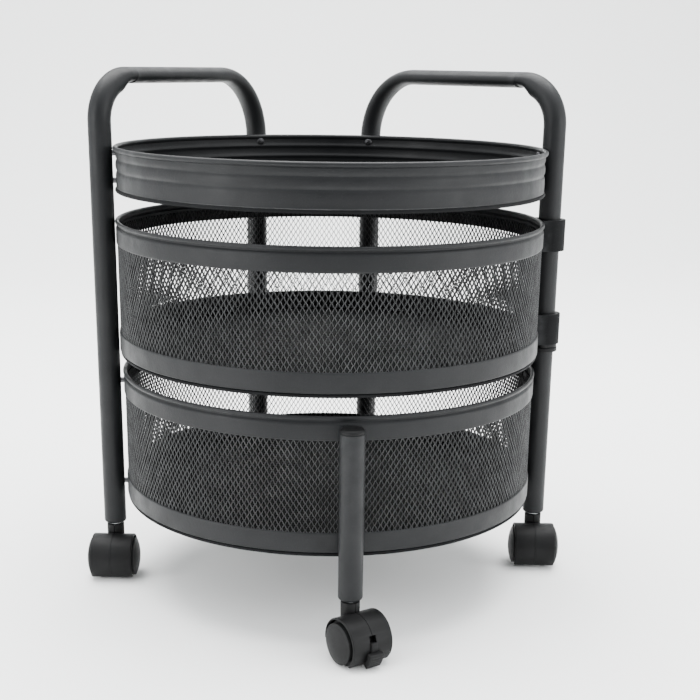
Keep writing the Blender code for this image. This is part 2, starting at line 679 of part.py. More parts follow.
def stem_mesh():
    """The steel stem with the flange that shows under the post."""
    flange_low = BOSS_TOP_Z + TOUCH_GAP
    flange_high = POST_BOTTOM_Z - TOUCH_GAP
    top = POST_BOTTOM_Z + STEM_BLOCK_H - SHEET
    profile = [(0.0, STEM_FOOT_Z), (STEM_R, STEM_FOOT_Z), (STEM_R, flange_low),
               (STEM_FLANGE_R, flange_low), (STEM_FLANGE_R, flange_high),
               (STEM_R, flange_high), (STEM_R, top), (0.0, top)]
    return mesh_from("stem", turned(profile, STEM_SIDES, closed=False))


def lever_mesh():
    """The brake lever: a curved shank in the slot with a wide tab outside the hood."""
    shank = mesh_from("lever", sector_bmesh(HOOD_R - LEVER_DEPTH, HOOD_R + SHEET * 2, LEVER_LOW,
                                            LEVER_TOP, LEVER_HALF_W))
    tab = sector_bmesh(HOOD_R + SHEET, HOOD_R + TAB_REACH, TAB_LOW, TAB_TOP, TAB_HALF_W)
    return combine(shank, tab, "UNION")


def build_caster(root, post, hood, wheel, stem):
    """One caster under a post: stem, hood, axle and two wheels."""
    base = on_circle(POST_CIRCLE_R, POST_ANGLES[post])
    heading = FRONT_CASTER_HEADING if post == "front" else CASTER_HEADING
    swivel = make_empty(post + "_swivel", root, base, heading)
    add_piece(post + "_caster_stem", stem.copy(), BRIGHT_STEEL, swivel)
    add_piece(post + "_caster_hood", hood.copy(), BLACK_PLASTIC, swivel)
    axle_bm = cylinder(AXLE_R, (0, -AXLE_HALF, 0), (0, AXLE_HALF, 0), STUD_SIDES)
    axle = add_piece(post + "_caster_axle", mesh_from("axle", axle_bm), BRIGHT_STEEL, swivel)
    axle.location = (TRAIL, 0, WHEEL_R)
    for side, turn in (("outer", -math.pi / 2), ("inner", math.pi / 2)):
        one = add_piece(post + "_caster_wheel_" + side, wheel.copy(), BLACK_PLASTIC, swivel)
        one.location = (TRAIL, 0, WHEEL_R)
        one.rotation_euler = (turn, 0, 0)
    return swivel


def build_casters(root):
    """Five casters; the front one has the brake."""
    wheel = wheel_mesh()
    stem = stem_mesh()
    plain = hood_mesh(with_slot=False)
    slotted = hood_mesh(with_slot=True)
    for post in POST_ANGLES:
        hood = slotted if post == "front" else plain
        swivel = build_caster(root, post, hood, wheel, stem)
        if post == "front":
            lever = lever_mesh()
            lever.transform(Matrix.Translation((-TRAIL, 0, -WHEEL_R)))
            piece = add_piece("front_brake_lever", lever, BLACK_PLASTIC, swivel)
            piece.location = (TRAIL, 0, WHEEL_R)


def centre_on_footprint(root):
    """Move the whole cart so that its footprint's centre is the origin."""
    bpy.context.view_layer.update()
    points = [obj.matrix_world @ vertex.co for obj in bpy.data.objects if obj.type == "MESH"
              for vertex in obj.data.vertices]
    for axis in (0, 1):
        values = [point[axis] for point in points]
        root.location[axis] = -(min(values) + max(values)) / 2


def main():
    """Build the cart."""
    clear_scene()
    root = make_empty("cart", None, (0, 0, 0))
    swing = make_empty("swing_axis", root, (POST_CIRCLE_R, 0, 0))
    build_posts(root)
    build_front_leg(root)
    build_tray(root)
    build_basket(root, "bottom_basket", LOW_TOP_Z, LOW_TIER_R,
                 ("left", "right", "back_left", "back_right", "front"))
    middle = make_empty("swing_basket_centre", swing, (-POST_CIRCLE_R, 0, 0))
    build_basket(middle, "swing_basket", SWING_TOP_Z, TIER_R, ())
    build_swing_hinge(root, swing)
    build_casters(root)
    centre_on_footprint(root)
    bpy.context.view_layer.update()


main()
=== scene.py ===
"""Looks of a round three-tier rolling cart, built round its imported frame.

Each sub-assembly is a class that holds its own sizes and makes its own pieces.  Lengths are in
metres, +Z is up, -Y points at the short front leg and +X at the post that the middle basket
swings about.  Outlines are (radius, height) points, and angles in fields are in degrees.
"""
from __future__ import annotations

import json
import logging
import math
from collections.abc import Sequence
from dataclasses import dataclass, field
from enum import Enum

import bmesh
import bpy
from mathutils import Matrix, Vector


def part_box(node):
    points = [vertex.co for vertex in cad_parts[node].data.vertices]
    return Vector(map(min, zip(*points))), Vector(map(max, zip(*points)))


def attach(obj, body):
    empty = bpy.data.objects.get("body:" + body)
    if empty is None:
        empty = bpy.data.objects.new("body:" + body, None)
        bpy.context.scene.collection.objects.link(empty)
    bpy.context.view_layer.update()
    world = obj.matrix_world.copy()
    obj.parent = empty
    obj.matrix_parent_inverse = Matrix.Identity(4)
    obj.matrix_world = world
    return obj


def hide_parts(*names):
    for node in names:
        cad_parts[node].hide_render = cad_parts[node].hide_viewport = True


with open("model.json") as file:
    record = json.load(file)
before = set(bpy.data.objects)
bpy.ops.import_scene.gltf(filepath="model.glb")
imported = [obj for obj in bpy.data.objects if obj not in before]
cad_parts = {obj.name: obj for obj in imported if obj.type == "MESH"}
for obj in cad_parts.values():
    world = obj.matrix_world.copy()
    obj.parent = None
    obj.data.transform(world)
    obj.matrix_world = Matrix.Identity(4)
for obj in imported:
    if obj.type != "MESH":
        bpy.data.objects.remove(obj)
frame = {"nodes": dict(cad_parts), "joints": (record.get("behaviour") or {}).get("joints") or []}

Outline = list[tuple[float, float]]
Ring = list[Vector]
Colour = tuple[float, float, float, float]
LOG = logging.getLogger("cart")
UP = Vector((0.0, 0.0, 1.0))
ORIGIN = Vector((0.0, 0.0, 0.0))
CUT_SHARP = 28.0        # degrees; edges left by a cut that turn more than this stay crisp
WELD = 1e-6             # points closer than this are one
POLE = 1e-9             # a smaller radius is a pole
CORNER_SHARE = 0.45     # most of a side that a rounded corner may take


class Slot(Enum):
    """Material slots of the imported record."""

    COAT = "powder_coat"
    MESH = "mesh_coat"
    CASTER = "caster_plastic"
    WHEEL = "wheel_plastic"
    BUSH = "bush_plastic"
    STEEL = "bright_steel"
    SCREW = "dark_screw"


class Post(Enum):
    """The five posts, by the names that the frame gives their swivels."""

    LEFT = "left"
    RIGHT = "right"
    BACK_LEFT = "back_left"
    BACK_RIGHT = "back_right"
    FRONT = "front"


class Level(Enum):
    """The two hinge straps of the swinging basket."""

    UPPER = "upper"
    LOWER = "lower"


# ---- Places read from the frame --------------------------------------------------------
@dataclass(frozen=True)
class Layout:
    """Answers where the frame's axes and nodes are."""

    joints: dict[str, dict] = field(
        default_factory=lambda: {joint["name"]: joint for joint in frame["joints"]})

    def anchor(self, joint: str) -> Vector:
        """A point on a joint's axis."""
        return Vector(self.joints[joint]["pos_m"])

    def post_axis(self, post: Post) -> Vector:
        """Where a post's axis meets the floor."""
        point = self.anchor(post.value + "_swivel")
        return Vector((point.x, point.y, 0.0))

    def tier_axis(self) -> Vector:
        """Where the axis of the tiers meets the floor."""
        low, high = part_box("tray_pan")
        return Vector(((low.x + high.x) / 2, (low.y + high.y) / 2, 0.0))

    def radius(self, node: str) -> float:
        """Outer radius of a round node.

        Args:
            node: name of a CAD node that is round about the vertical.

        Returns:
            Half of its width along X.
        """
        low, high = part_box(node)
        return (high.x - low.x) / 2

    def span(self, node: str) -> tuple[float, float]:
        """Lowest and highest height of a node."""
        low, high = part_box(node)
        return low.z, high.z

    def outward(self, post: Post) -> Vector:
        """Level direction from the tiers' axis to a post."""
        return (self.post_axis(post) - self.tier_axis()).normalized()


LAYOUT = Layout()


# ---- Outlines --------------------------------------------------------------------------
def arc(centre: tuple[float, float], radius: float, start: float, end: float,
        steps: int) -> Outline:
    """Make points along an arc.

    Args:
        centre: middle of the arc.
        radius: its radius.
        start: first angle in degrees.
        end: last angle in degrees.
        steps: number of straight pieces.

    Returns:
        The points, in order, with both ends.
    """
    turns = [math.radians(start + (end - start) * i / steps) for i in range(steps + 1)]
    return [(centre[0] + radius * math.cos(t), centre[1] + radius * math.sin(t)) for t in turns]


def rounded(points: Outline, radius: float, steps: int = 4, closed: bool = True) -> Outline:
    """Round the corners of an outline.

    Args:
        points: the outline's corners.
        radius: length that is taken off each side of a corner, at most 45% of the side.
        steps: straight pieces per corner.
        closed: whether the last corner joins the first.

    Returns:
        The outline with each corner replaced by a curve.
    """
    result: Outline = []
    count = len(points)
    for i, point in enumerate(points):
        if not closed and i in (0, count - 1):
            result.append(point)
            continue
        corner = Vector(point)
        before = Vector(points[i - 1]) - corner
        after = Vector(points[(i + 1) % count]) - corner
        start = corner + before.normalized() * min(radius, CORNER_SHARE * before.length)
        end = corner + after.normalized() * min(radius, CORNER_SHARE * after.length)
        for k in range(steps + 1):
            s = k / steps
            at = start * (1 - s) ** 2 + corner * (2 * s * (1 - s)) + end * s ** 2
            result.append((at.x, at.y))
    return result


def sheet_outline(path: Outline, thickness: float) -> Outline:
    """Give a sheet's middle line its thickness.

    Args:
        path: points of the sheet's middle line.
        thickness: sheet thickness.

    Returns:
        A closed outline that runs along one side and back along the other.
    """
    left: Outline = []
    right: Outline = []
    for i, point in enumerate(path):
        before = Vector(path[max(i - 1, 0)])
        after = Vector(path[min(i + 1, len(path) - 1)])
        along = (after - before).normalized()
        normal = Vector((-along.y, along.x)) * (thickness / 2)
        left.append((point[0] + normal.x, point[1] + normal.y))
        right.append((point[0] - normal.x, point[1] - normal.y))
    return left + right[::-1]


def smoothstep(value: float) -> float:
    """Rise smoothly from 0 at 0 to 1 at 1."""
    share = min(1.0, max(0.0, value))
    return share * share * (3.0 - 2.0 * share)


def bell(distance: float, width: float) -> float:
    """A bump of height 1 that has died away beyond about twice its width."""
    return math.exp(-(distance / width) ** 2)


# ---- Meshes ----------------------------------------------------------------------------
def finished(bm: bmesh.types.BMesh, name: str, sharp: float = 38.0) -> bpy.types.Mesh:
    """Turn a bmesh into a clean mesh.

    Args:
        bm: the closed skin, which is freed.
        name: the mesh's name.
        sharp: edges that turn more than this many degrees stay crisp.

    Returns:
        The mesh, smooth-shaded, with its faces outwards.
    """
    bmesh.ops.remove_doubles(bm, verts=bm.verts, dist=WELD)
    bmesh.ops.recalc_face_normals(bm, faces=bm.faces)
    mesh = bpy.data.meshes.new(name)
    bm.to_mesh(mesh)
    bm.free()
    mesh.shade_smooth()
    mesh.set_sharp_from_angle(angle=math.radians(sharp))
    return mesh


def revolve(outline: Outline, axis: Vector, segments: int,
            closed: bool = True) -> bmesh.types.BMesh:
    """Spin an outline about a vertical axis.

    Args:
        outline: (radius, height) points; radius 0 makes a pole.
        axis: where the axis stands.
        segments: number of columns.
        closed: whether the last point joins the first.

    Returns:
        The skin as a bmesh.
    """
    bm = bmesh.new()
    turns = [2 * math.pi * i / segments for i in range(segments)]
    rows = []
    for radius, height in outline:
        if radius < POLE:
            rows.append([bm.verts.new((axis.x, axis.y, height))] * segments)
        else:
            rows.append([bm.verts.new((axis.x + radius * math.cos(t),
                                       axis.y + radius * math.sin(t), height)) for t in turns])
    pairs = list(zip(rows, rows[1:]))
    if closed:
        pairs.append((rows[-1], rows[0]))
    for lower, upper in pairs:
        for i in range(segments):
            j = (i + 1) % segments
            corners = dict.fromkeys((lower[i], lower[j], upper[j], upper[i]))
            if len(corners) > 2:
                bm.faces.new(list(corners))
    return bm


def loft(rings: Sequence[Ring], closed: bool = False) -> bmesh.types.BMesh:
    """Join rings of points into one skin.

    Args:
        rings: rings with the same number of points.
        closed: join the last ring to the first; if not, both ends are capped.

    Returns:
        The skin as a bmesh.
    """
    bm = bmesh.new()
    rows = [[bm.verts.new(point) for point in ring] for ring in rings]
    pairs = list(zip(rows, rows[1:]))
    if closed:
        pairs.append((rows[-1], rows[0]))
    for lower, upper in pairs:
        for i in range(len(lower)):
            j = (i + 1) % len(lower)
            bm.faces.new((lower[i], lower[j], upper[j], upper[i]))
    if not closed:
        bm.faces.new(rows[0])
        bm.faces.new(rows[-1])
    return bm


def extruded(outline: Outline, half_width: float) -> bmesh.types.BMesh:
    """Extrude an (x, z) outline both ways along Y.

    Args:
        outline: the closed outline.
        half_width: how far it reaches to each side.

    Returns:
        The block as a bmesh.
    """
    near = [Vector((x, -half_width, z)) for x, z in outline]
    far = [Vector((x, half_width, z)) for x, z in outline]
    return loft([near, far])


def cylinder(radius: float, start: Vector, end: Vector, sides: int) -> bmesh.types.BMesh:
    """Make a cylinder between two points.

    Args:
        radius: its radius.
        start: middle of one end.
        end: middle of the other end.
        sides: number of sides.

    Returns:
        The cylinder as a bmesh.
    """
    along = end - start
    turn = along.to_track_quat("Z", "Y").to_matrix().to_4x4()
    bm = bmesh.new()
    bmesh.ops.create_cone(bm, cap_ends=True, segments=sides, radius1=radius, radius2=radius,
                          depth=along.length, matrix=Matrix.Translation((start + end) / 2) @ turn)
    return bm


def evaluated(obj: bpy.types.Object, name: str) -> bpy.types.Mesh:
    """Turn an object with its modifiers into a plain mesh, and remove the object."""
    bpy.context.view_layer.update()
    graph = bpy.context.evaluated_depsgraph_get()
    mesh = bpy.data.meshes.new_from_object(obj.evaluated_get(graph))
    mesh.name = name
    bpy.data.objects.remove(obj)
    return mesh


def work_object(mesh: bpy.types.Mesh) -> bpy.types.Object:
    """Link a short-lived object that holds a mesh while modifiers run."""
    obj = bpy.data.objects.new("work_piece", mesh)
    bpy.context.scene.collection.objects.link(obj)
    return obj


def combined(base: bpy.types.Mesh, tool: bmesh.types.BMesh, operation: str) -> bpy.types.Mesh:
    """Cut from a mesh, or add to it.

    Args:
        base: the mesh that is changed.
        tool: the other skin, which is freed.
        operation: the Boolean modifier's name for it, "DIFFERENCE" or "UNION".

    Returns:
        A new mesh.
    """
    target = work_object(base)
    cutter = work_object(finished(tool, "work_tool"))
    change = target.modifiers.new("change", "BOOLEAN")
    change.operation = operation
    change.object = cutter
    mesh = evaluated(target, base.name)
    bpy.data.objects.remove(cutter)
    mesh.set_sharp_from_angle(angle=math.radians(CUT_SHARP))
    return mesh


def eased(mesh: bpy.types.Mesh, width: float, segments: int = 2,
          limit: float = 32.0) -> bpy.types.Mesh:
    """Ease the crisp edges of a mesh.

    Args:
        mesh: the mesh to start from.
        width: width of the eased edge.
        segments: its number of facets.
        limit: edges that turn less than this many degrees are left.

    Returns:
        A new mesh.
    """
    obj = work_object(mesh)
    bevel = obj.modifiers.new("ease", "BEVEL")
    bevel.width = width
    bevel.segments = segments
    bevel.limit_method = "ANGLE"
    bevel.angle_limit = math.radians(limit)
    bevel.use_clamp_overlap = True
    result = evaluated(obj, mesh.name)
    result.shade_smooth()
    result.set_sharp_from_angle(angle=math.radians(limit))
    return result


def place(name: str, mesh: bpy.types.Mesh, finish: bpy.types.Material, body: str,
          replaces: Sequence[str] = ()) -> bpy.types.Object:
    """Add a finished piece to the cart.

    Args:
        name: the piece's name.
        mesh: its mesh, in the frame's own place.
        finish: its material.
        body: the CAD body that it rides on.
        replaces: CAD nodes that it stands for.

    Returns:
        The piece.
    """
    obj = bpy.data.objects.new(name, mesh)
    bpy.context.scene.collection.objects.link(obj)
    mesh.materials.clear()
    mesh.materials.append(finish)
    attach(obj, body)
    if replaces:
        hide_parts(*replaces)
    LOG.info("%s: %d faces on %s", name, len(mesh.polygons), body)
    return obj


def dress_nodes(names: Sequence[str], finish: bpy.types.Material) -> None:
    """Give CAD nodes that stay shown a procedural finish."""
    for name in names:
        node = frame["nodes"][name]
        for material_slot in node.material_slots:
            material_slot.link = "OBJECT"
            material_slot.material = finish
        LOG.info("%s: CAD node dressed", name)


# ---- Node trees ------------------------------------------------------------------------
class NodeGraph:
    """A node tree whose nodes are added by short calls."""

    tree: bpy.types.NodeTree

    def add(self, kind: str, inputs: dict | None = None, **settings) -> bpy.types.Node:
        """Add a node.

        Args:
            kind: its Blender type.
            inputs: values or output sockets, by input name or number.
            settings: attributes to set on the node.

        Returns:
            The node.
        """
        node = self.tree.nodes.new(kind)
        for key, value in settings.items():
            setattr(node, key, value)
        for key, value in (inputs or {}).items():
            self.feed(node.inputs[key], value)
        return node

    def feed(self, socket: bpy.types.NodeSocket, value: object) -> None:
        """Set a socket to a value, or link it to an output."""
        if isinstance(value, bpy.types.NodeSocket):
            self.tree.links.new(value, socket)
        else:
            socket.default_value = value

    def maths(self, operation: str, first: object, second: object = 0.0) -> bpy.types.NodeSocket:
        """Combine two numbers."""
        return self.add("ShaderNodeMath", {0: first, 1: second}, operation=operation).outputs[0]


# ---- Finishes --------------------------------------------------------------------------
class ShaderGraph(NodeGraph):
    """A material whose nodes are added by short calls."""

    def __init__(self, name: str) -> None:
        """Start a material with only its Principled shader and output."""
        self.material = bpy.data.materials.new(name)
        self.material.use_nodes = True
        self.tree = self.material.node_tree
        self.shader = self.tree.nodes["Principled BSDF"]
        self.place = self.add("ShaderNodeTexCoord").outputs["Object"]

    def noise(self, scale: float, detail: float = 2.0, rough: float = 0.5,
              vector: bpy.types.NodeSocket | None = None) -> bpy.types.NodeSocket:
        """Add a noise texture over the piece.

        Args:
            scale: cells per metre.
            detail: number of octaves.
            rough: how strong the fine octaves are.
            vector: place to read it at, if not the plain object place.

        Returns:
            Its grey value.
        """
        inputs = {"Vector": vector or self.place, "Scale": scale, "Detail": detail,
                  "Roughness": rough}
        return self.add("ShaderNodeTexNoise", inputs).outputs[0]

    def ramp(self, value: bpy.types.NodeSocket, low: float, high: float, to_low: float,
             to_high: float) -> bpy.types.NodeSocket:
        """Map a grey value from one range to another, clamped."""
        inputs = {0: value, 1: low, 2: high, 3: to_low, 4: to_high}
        return self.add("ShaderNodeMapRange", inputs).outputs[0]

    def mix(self, share: bpy.types.NodeSocket, first: object,
            second: object) -> bpy.types.NodeSocket:
        """Mix two colours by a share."""
        inputs = {0: share, 6: first, 7: second}
        node = self.add("ShaderNodeMix", inputs, data_type="RGBA")
        return node.outputs[2]

    def bump(self, height: bpy.types.NodeSocket, depth: float,
             under: bpy.types.NodeSocket | None = None) -> bpy.types.NodeSocket:
        """Turn a height into a bumped normal.

        Args:
            height: grey value of the relief.
            depth: how deep its full range is.
            under: a bumped normal to lay it over.

        Returns:
            The normal.
        """
        node = self.add("ShaderNodeBump", {"Height": height, "Distance": depth})
        if under:
            self.feed(node.inputs["Normal"], under)
        return node.outputs[0]

    def edges(self, low: float, high: float) -> bpy.types.NodeSocket:
        """Find the convex edges, from 0 on flats to 1 on edges."""
        pointy = self.add("ShaderNodeNewGeometry").outputs["Pointiness"]
        return self.ramp(pointy, low, high, 0.0, 1.0)

    def principled(self, **inputs: object) -> bpy.types.Material:
        """Feed the Principled shader; underscores in names stand for spaces."""
        for key, value in inputs.items():
            self.feed(self.shader.inputs[key.replace("_", " ")], value)
        return self.material


@dataclass(frozen=True)
class PowderCoat:
    """Satin charcoal powder coat with a fine orange-peel grain and rubbed edges."""

    name: str = "charcoal_powder_coat"
    colour: Colour = (0.0056, 0.0061, 0.0067, 1.0)
    pale: Colour = (0.0078, 0.0083, 0.0090, 1.0)
    rubbed: Colour = (0.028, 0.029, 0.030, 1.0)
    gloss: float = 0.18
    grain: float = 1500.0
    peel: float = 420.0
    grain_depth: float = 0.00006
    peel_depth: float = 0.00010
    smooth: float = 0.40
    dull: float = 0.54

    def material(self) -> bpy.types.Material:
        """Build the node material."""
        graph = ShaderGraph(self.name)
        cloud = graph.noise(14.0, 3.0)
        grain = graph.noise(self.grain, 2.0, 0.6)
        peel = graph.noise(self.peel, 1.0)
        speck = graph.ramp(grain, 0.60, 0.72, 0.0, 0.35)
        tone = graph.mix(graph.ramp(cloud, 0.35, 0.65, 0.0, 1.0), self.colour, self.pale)
        tone = graph.mix(speck, tone, self.rubbed)
        worn = graph.maths("MULTIPLY", graph.edges(0.53, 0.62),
                           graph.ramp(graph.noise(90.0, 4.0), 0.40, 0.62, 0.15, 0.8))
        tone = graph.mix(worn, tone, self.rubbed)
        matt = graph.ramp(graph.noise(60.0, 3.0), 0.3, 0.7, self.smooth, self.dull)
        relief = graph.bump(peel, self.peel_depth)
        relief = graph.bump(grain, self.grain_depth, relief)
        return graph.principled(Base_Color=tone, Roughness=matt, Normal=relief, Metallic=0.0,
                                Specular_IOR_Level=self.gloss)


@dataclass(frozen=True)
class MouldedPlastic:
    """Black moulded plastic with a spark-eroded texture, faint scuffs and paler edges."""

    name: str
    colour: Colour
    scuffed: Colour
    smooth: float
    dull: float
    gloss: float = 0.12
    texture: float = 2400.0
    texture_depth: float = 0.00005

    def material(self) -> bpy.types.Material:
        """Build the node material."""
        graph = ShaderGraph(self.name)
        streak_place = graph.add("ShaderNodeMapping", {"Vector": graph.place,
                                                       "Scale": (1.0, 1.0, 9.0)}).outputs[0]
        texture = graph.noise(self.texture, 2.0, 0.6)
        streak = graph.noise(110.0, 5.0, 0.7, streak_place)
        scuffs = graph.ramp(streak, 0.62, 0.74, 0.0, 0.55)
        cloud = graph.ramp(graph.noise(45.0, 3.0), 0.35, 0.7, 0.0, 0.35)
        tone = graph.mix(cloud, self.colour, self.scuffed)
        tone = graph.mix(scuffs, tone, self.scuffed)
        tone = graph.mix(graph.edges(0.54, 0.66), tone, self.scuffed)
        matt = graph.ramp(streak, 0.3, 0.7, self.smooth, self.dull)
        relief = graph.bump(texture, self.texture_depth)
        return graph.principled(Base_Color=tone, Roughness=matt, Normal=relief,
                                Specular_IOR_Level=self.gloss)


@dataclass(frozen=True)
class PlatedSteel:
    """Zinc-plated steel with fine turning marks and cloudy plating."""

    name: str = "zinc_plated_steel"
    colour: Colour = (0.66, 0.68, 0.70, 1.0)
    dulled: Colour = (0.42, 0.43, 0.44, 1.0)
    marks: float = 2600.0

    def material(self) -> bpy.types.Material:
        """Build the node material."""
        graph = ShaderGraph(self.name)
        turned_place = graph.add("ShaderNodeMapping", {"Vector": graph.place,
                                                       "Scale": (0.05, 0.05, 1.0)}).outputs[0]
        marks = graph.noise(self.marks, 1.0, 0.5, turned_place)
        cloud = graph.ramp(graph.noise(240.0, 4.0), 0.35, 0.7, 0.0, 1.0)
        tone = graph.mix(cloud, self.colour, self.dulled)
        matt = graph.ramp(marks, 0.3, 0.7, 0.20, 0.38)
        relief = graph.bump(marks, 0.00004)
        return graph.principled(Base_Color=tone, Roughness=matt, Normal=relief, Metallic=1.0)


@dataclass(frozen=True)
class BlackenedScrew:
    """Blackened screw steel with a worn crown."""

    name: str = "blackened_screw_steel"
    colour: Colour = (0.035, 0.035, 0.037, 1.0)
    worn: Colour = (0.20, 0.20, 0.21, 1.0)

    def material(self) -> bpy.types.Material:
        """Build the node material."""
        graph = ShaderGraph(self.name)
        cloud = graph.noise(900.0, 3.0)
        wear = graph.maths("MULTIPLY", graph.edges(0.52, 0.62), cloud)
        tone = graph.mix(wear, self.colour, self.worn)
        matt = graph.ramp(cloud, 0.3, 0.7, 0.28, 0.45)
        return graph.principled(Base_Color=tone, Roughness=matt, Metallic=0.85,
                                Normal=graph.bump(cloud, 0.00003))


@dataclass(frozen=True)
class StudioPaper:
    """Pale matt backdrop paper with a hardly visible tooth."""

    name: str = "pale_backdrop_paper"
    colour: Colour = (0.930, 0.935, 0.925, 1.0)
    shade: Colour = (0.915, 0.920, 0.910, 1.0)

    def material(self) -> bpy.types.Material:
        """Build the node material."""
        graph = ShaderGraph(self.name)
        tone = graph.mix(graph.ramp(graph.noise(2.0, 3.0), 0.3, 0.7, 0.0, 1.0), self.colour,
                         self.shade)
        relief = graph.bump(graph.noise(700.0, 3.0), 0.0001)
        return graph.principled(Base_Color=tone, Roughness=0.9, Normal=relief,
                                Specular_IOR_Level=0.2)


@dataclass(frozen=True)
class Finishes:
    """The cart's materials, each built once."""

    coat: bpy.types.Material
    dark: bpy.types.Material
    mesh: bpy.types.Material
    caster: bpy.types.Material
    wheel: bpy.types.Material
    bush: bpy.types.Material
    steel: bpy.types.Material
    screw: bpy.types.Material

    @staticmethod
    def build() -> Finishes:
        """Build every finish of the cart."""
        return Finishes(
            coat=PowderCoat().material(),
            # A darker, matter copy of the coat, on the floor pans and the hinge straps; on the
            # straps its darkness is partly their own colour and partly painted shade for their dark
            # fronts.
            dark=PowderCoat(name="dark_matt_coat", gloss=0.07, smooth=0.62, dull=0.74,
                            colour=(0.0040, 0.0043, 0.0046, 1.0),
                            pale=(0.0060, 0.0063, 0.0068, 1.0)).material(),
            mesh=PowderCoat(name="charcoal_mesh_coat", colour=(0.0060, 0.0064, 0.0068, 1.0),
                            pale=(0.0080, 0.0084, 0.0088, 1.0), gloss=0.22,
                            peel_depth=0.00003).material(),
            caster=MouldedPlastic("black_caster_plastic", (0.0040, 0.0041, 0.0042, 1.0),
                                  (0.0120, 0.0120, 0.0124, 1.0), 0.42, 0.56).material(),
            wheel=MouldedPlastic("black_wheel_plastic", (0.0048, 0.0049, 0.0050, 1.0),
                                 (0.0150, 0.0150, 0.0150, 1.0), 0.40, 0.54).material(),
            bush=MouldedPlastic("black_bush_plastic", (0.0036, 0.0037, 0.0039, 1.0),
                                (0.013, 0.013, 0.0135, 1.0), 0.45, 0.60).material(),
            steel=PlatedSteel().material(),
            screw=BlackenedScrew().material())


# ---- Geometry Nodes --------------------------------------------------------------------
class RepeatTree(NodeGraph):
    """A Geometry Nodes tree with named inputs that ends in Realize Instances and a material."""

    KINDS = {float: "NodeSocketFloat", int: "NodeSocketInt"}

    def __init__(self, name: str, inputs: dict[str, float | int]) -> None:
        """Start the tree.

        Args:
            name: the tree's name.
            inputs: named sizes with the values that they are run with.
        """
        self.tree = bpy.data.node_groups.new(name, "GeometryNodeTree")
        self.tree.interface.new_socket("Points", in_out="INPUT",
                                        socket_type="NodeSocketGeometry")
        self.tree.interface.new_socket("Geometry", in_out="OUTPUT",
                                        socket_type="NodeSocketGeometry")
        self.values: dict[str, float | int] = {}
        for key, value in inputs.items():
            socket = self.tree.interface.new_socket(key, in_out="INPUT",
                                                     socket_type=self.KINDS[type(value)])
            self.values[socket.identifier] = value
        self.source = self.tree.nodes.new("NodeGroupInput")
        self.sink = self.tree.nodes.new("NodeGroupOutput")

    def size(self, name: str) -> bpy.types.NodeSocket:
        """The socket of a named input."""
        return self.source.outputs[name]

    def vector(self, x: object = 0.0, y: object = 0.0, z: object = 0.0) -> bpy.types.NodeSocket:
        """Make a vector from three numbers."""
        return self.add("ShaderNodeCombineXYZ", {0: x, 1: y, 2: z}).outputs[0]

    def join(self, *parts: bpy.types.NodeSocket) -> bpy.types.NodeSocket:
        """Join geometries."""
        node = self.add("GeometryNodeJoinGeometry")
        for part in parts:
            self.tree.links.new(part, node.inputs[0])
        return node.outputs[0]

    def instances(self, points: bpy.types.NodeSocket, shape: bpy.types.NodeSocket,
                  rotation: bpy.types.NodeSocket) -> bpy.types.NodeSocket:
        """Set a shape on every point, turned."""
        inputs = {"Points": points, "Instance": shape, "Rotation": rotation}
        return self.add("GeometryNodeInstanceOnPoints", inputs).outputs[0]

    def run(self, result: bpy.types.NodeSocket, finish: bpy.types.Material,
            points: Sequence[Vector] = ()) -> bpy.types.Mesh:
        """Close the tree and run it once.

        Args:
            result: the geometry to keep.
            finish: material that the tree sets.
            points: places that the tree's Points input holds.

        Returns:
            A plain mesh.
        """
        real = self.add("GeometryNodeRealizeInstances", {0: result}).outputs[0]
        coated = self.add("GeometryNodeSetMaterial", {0: real})
        coated.inputs["Material"].default_value = finish
        self.tree.links.new(coated.outputs[0], self.sink.inputs[0])
        seed = bpy.data.meshes.new(self.tree.name)
        seed.from_pydata([tuple(point) for point in points], [], [])
        obj = work_object(seed)
        modifier = obj.modifiers.new("repeat", "NODES")
        modifier.node_group = self.tree
        for identifier, value in self.values.items():
            modifier[identifier] = value
        return evaluated(obj, self.tree.name)


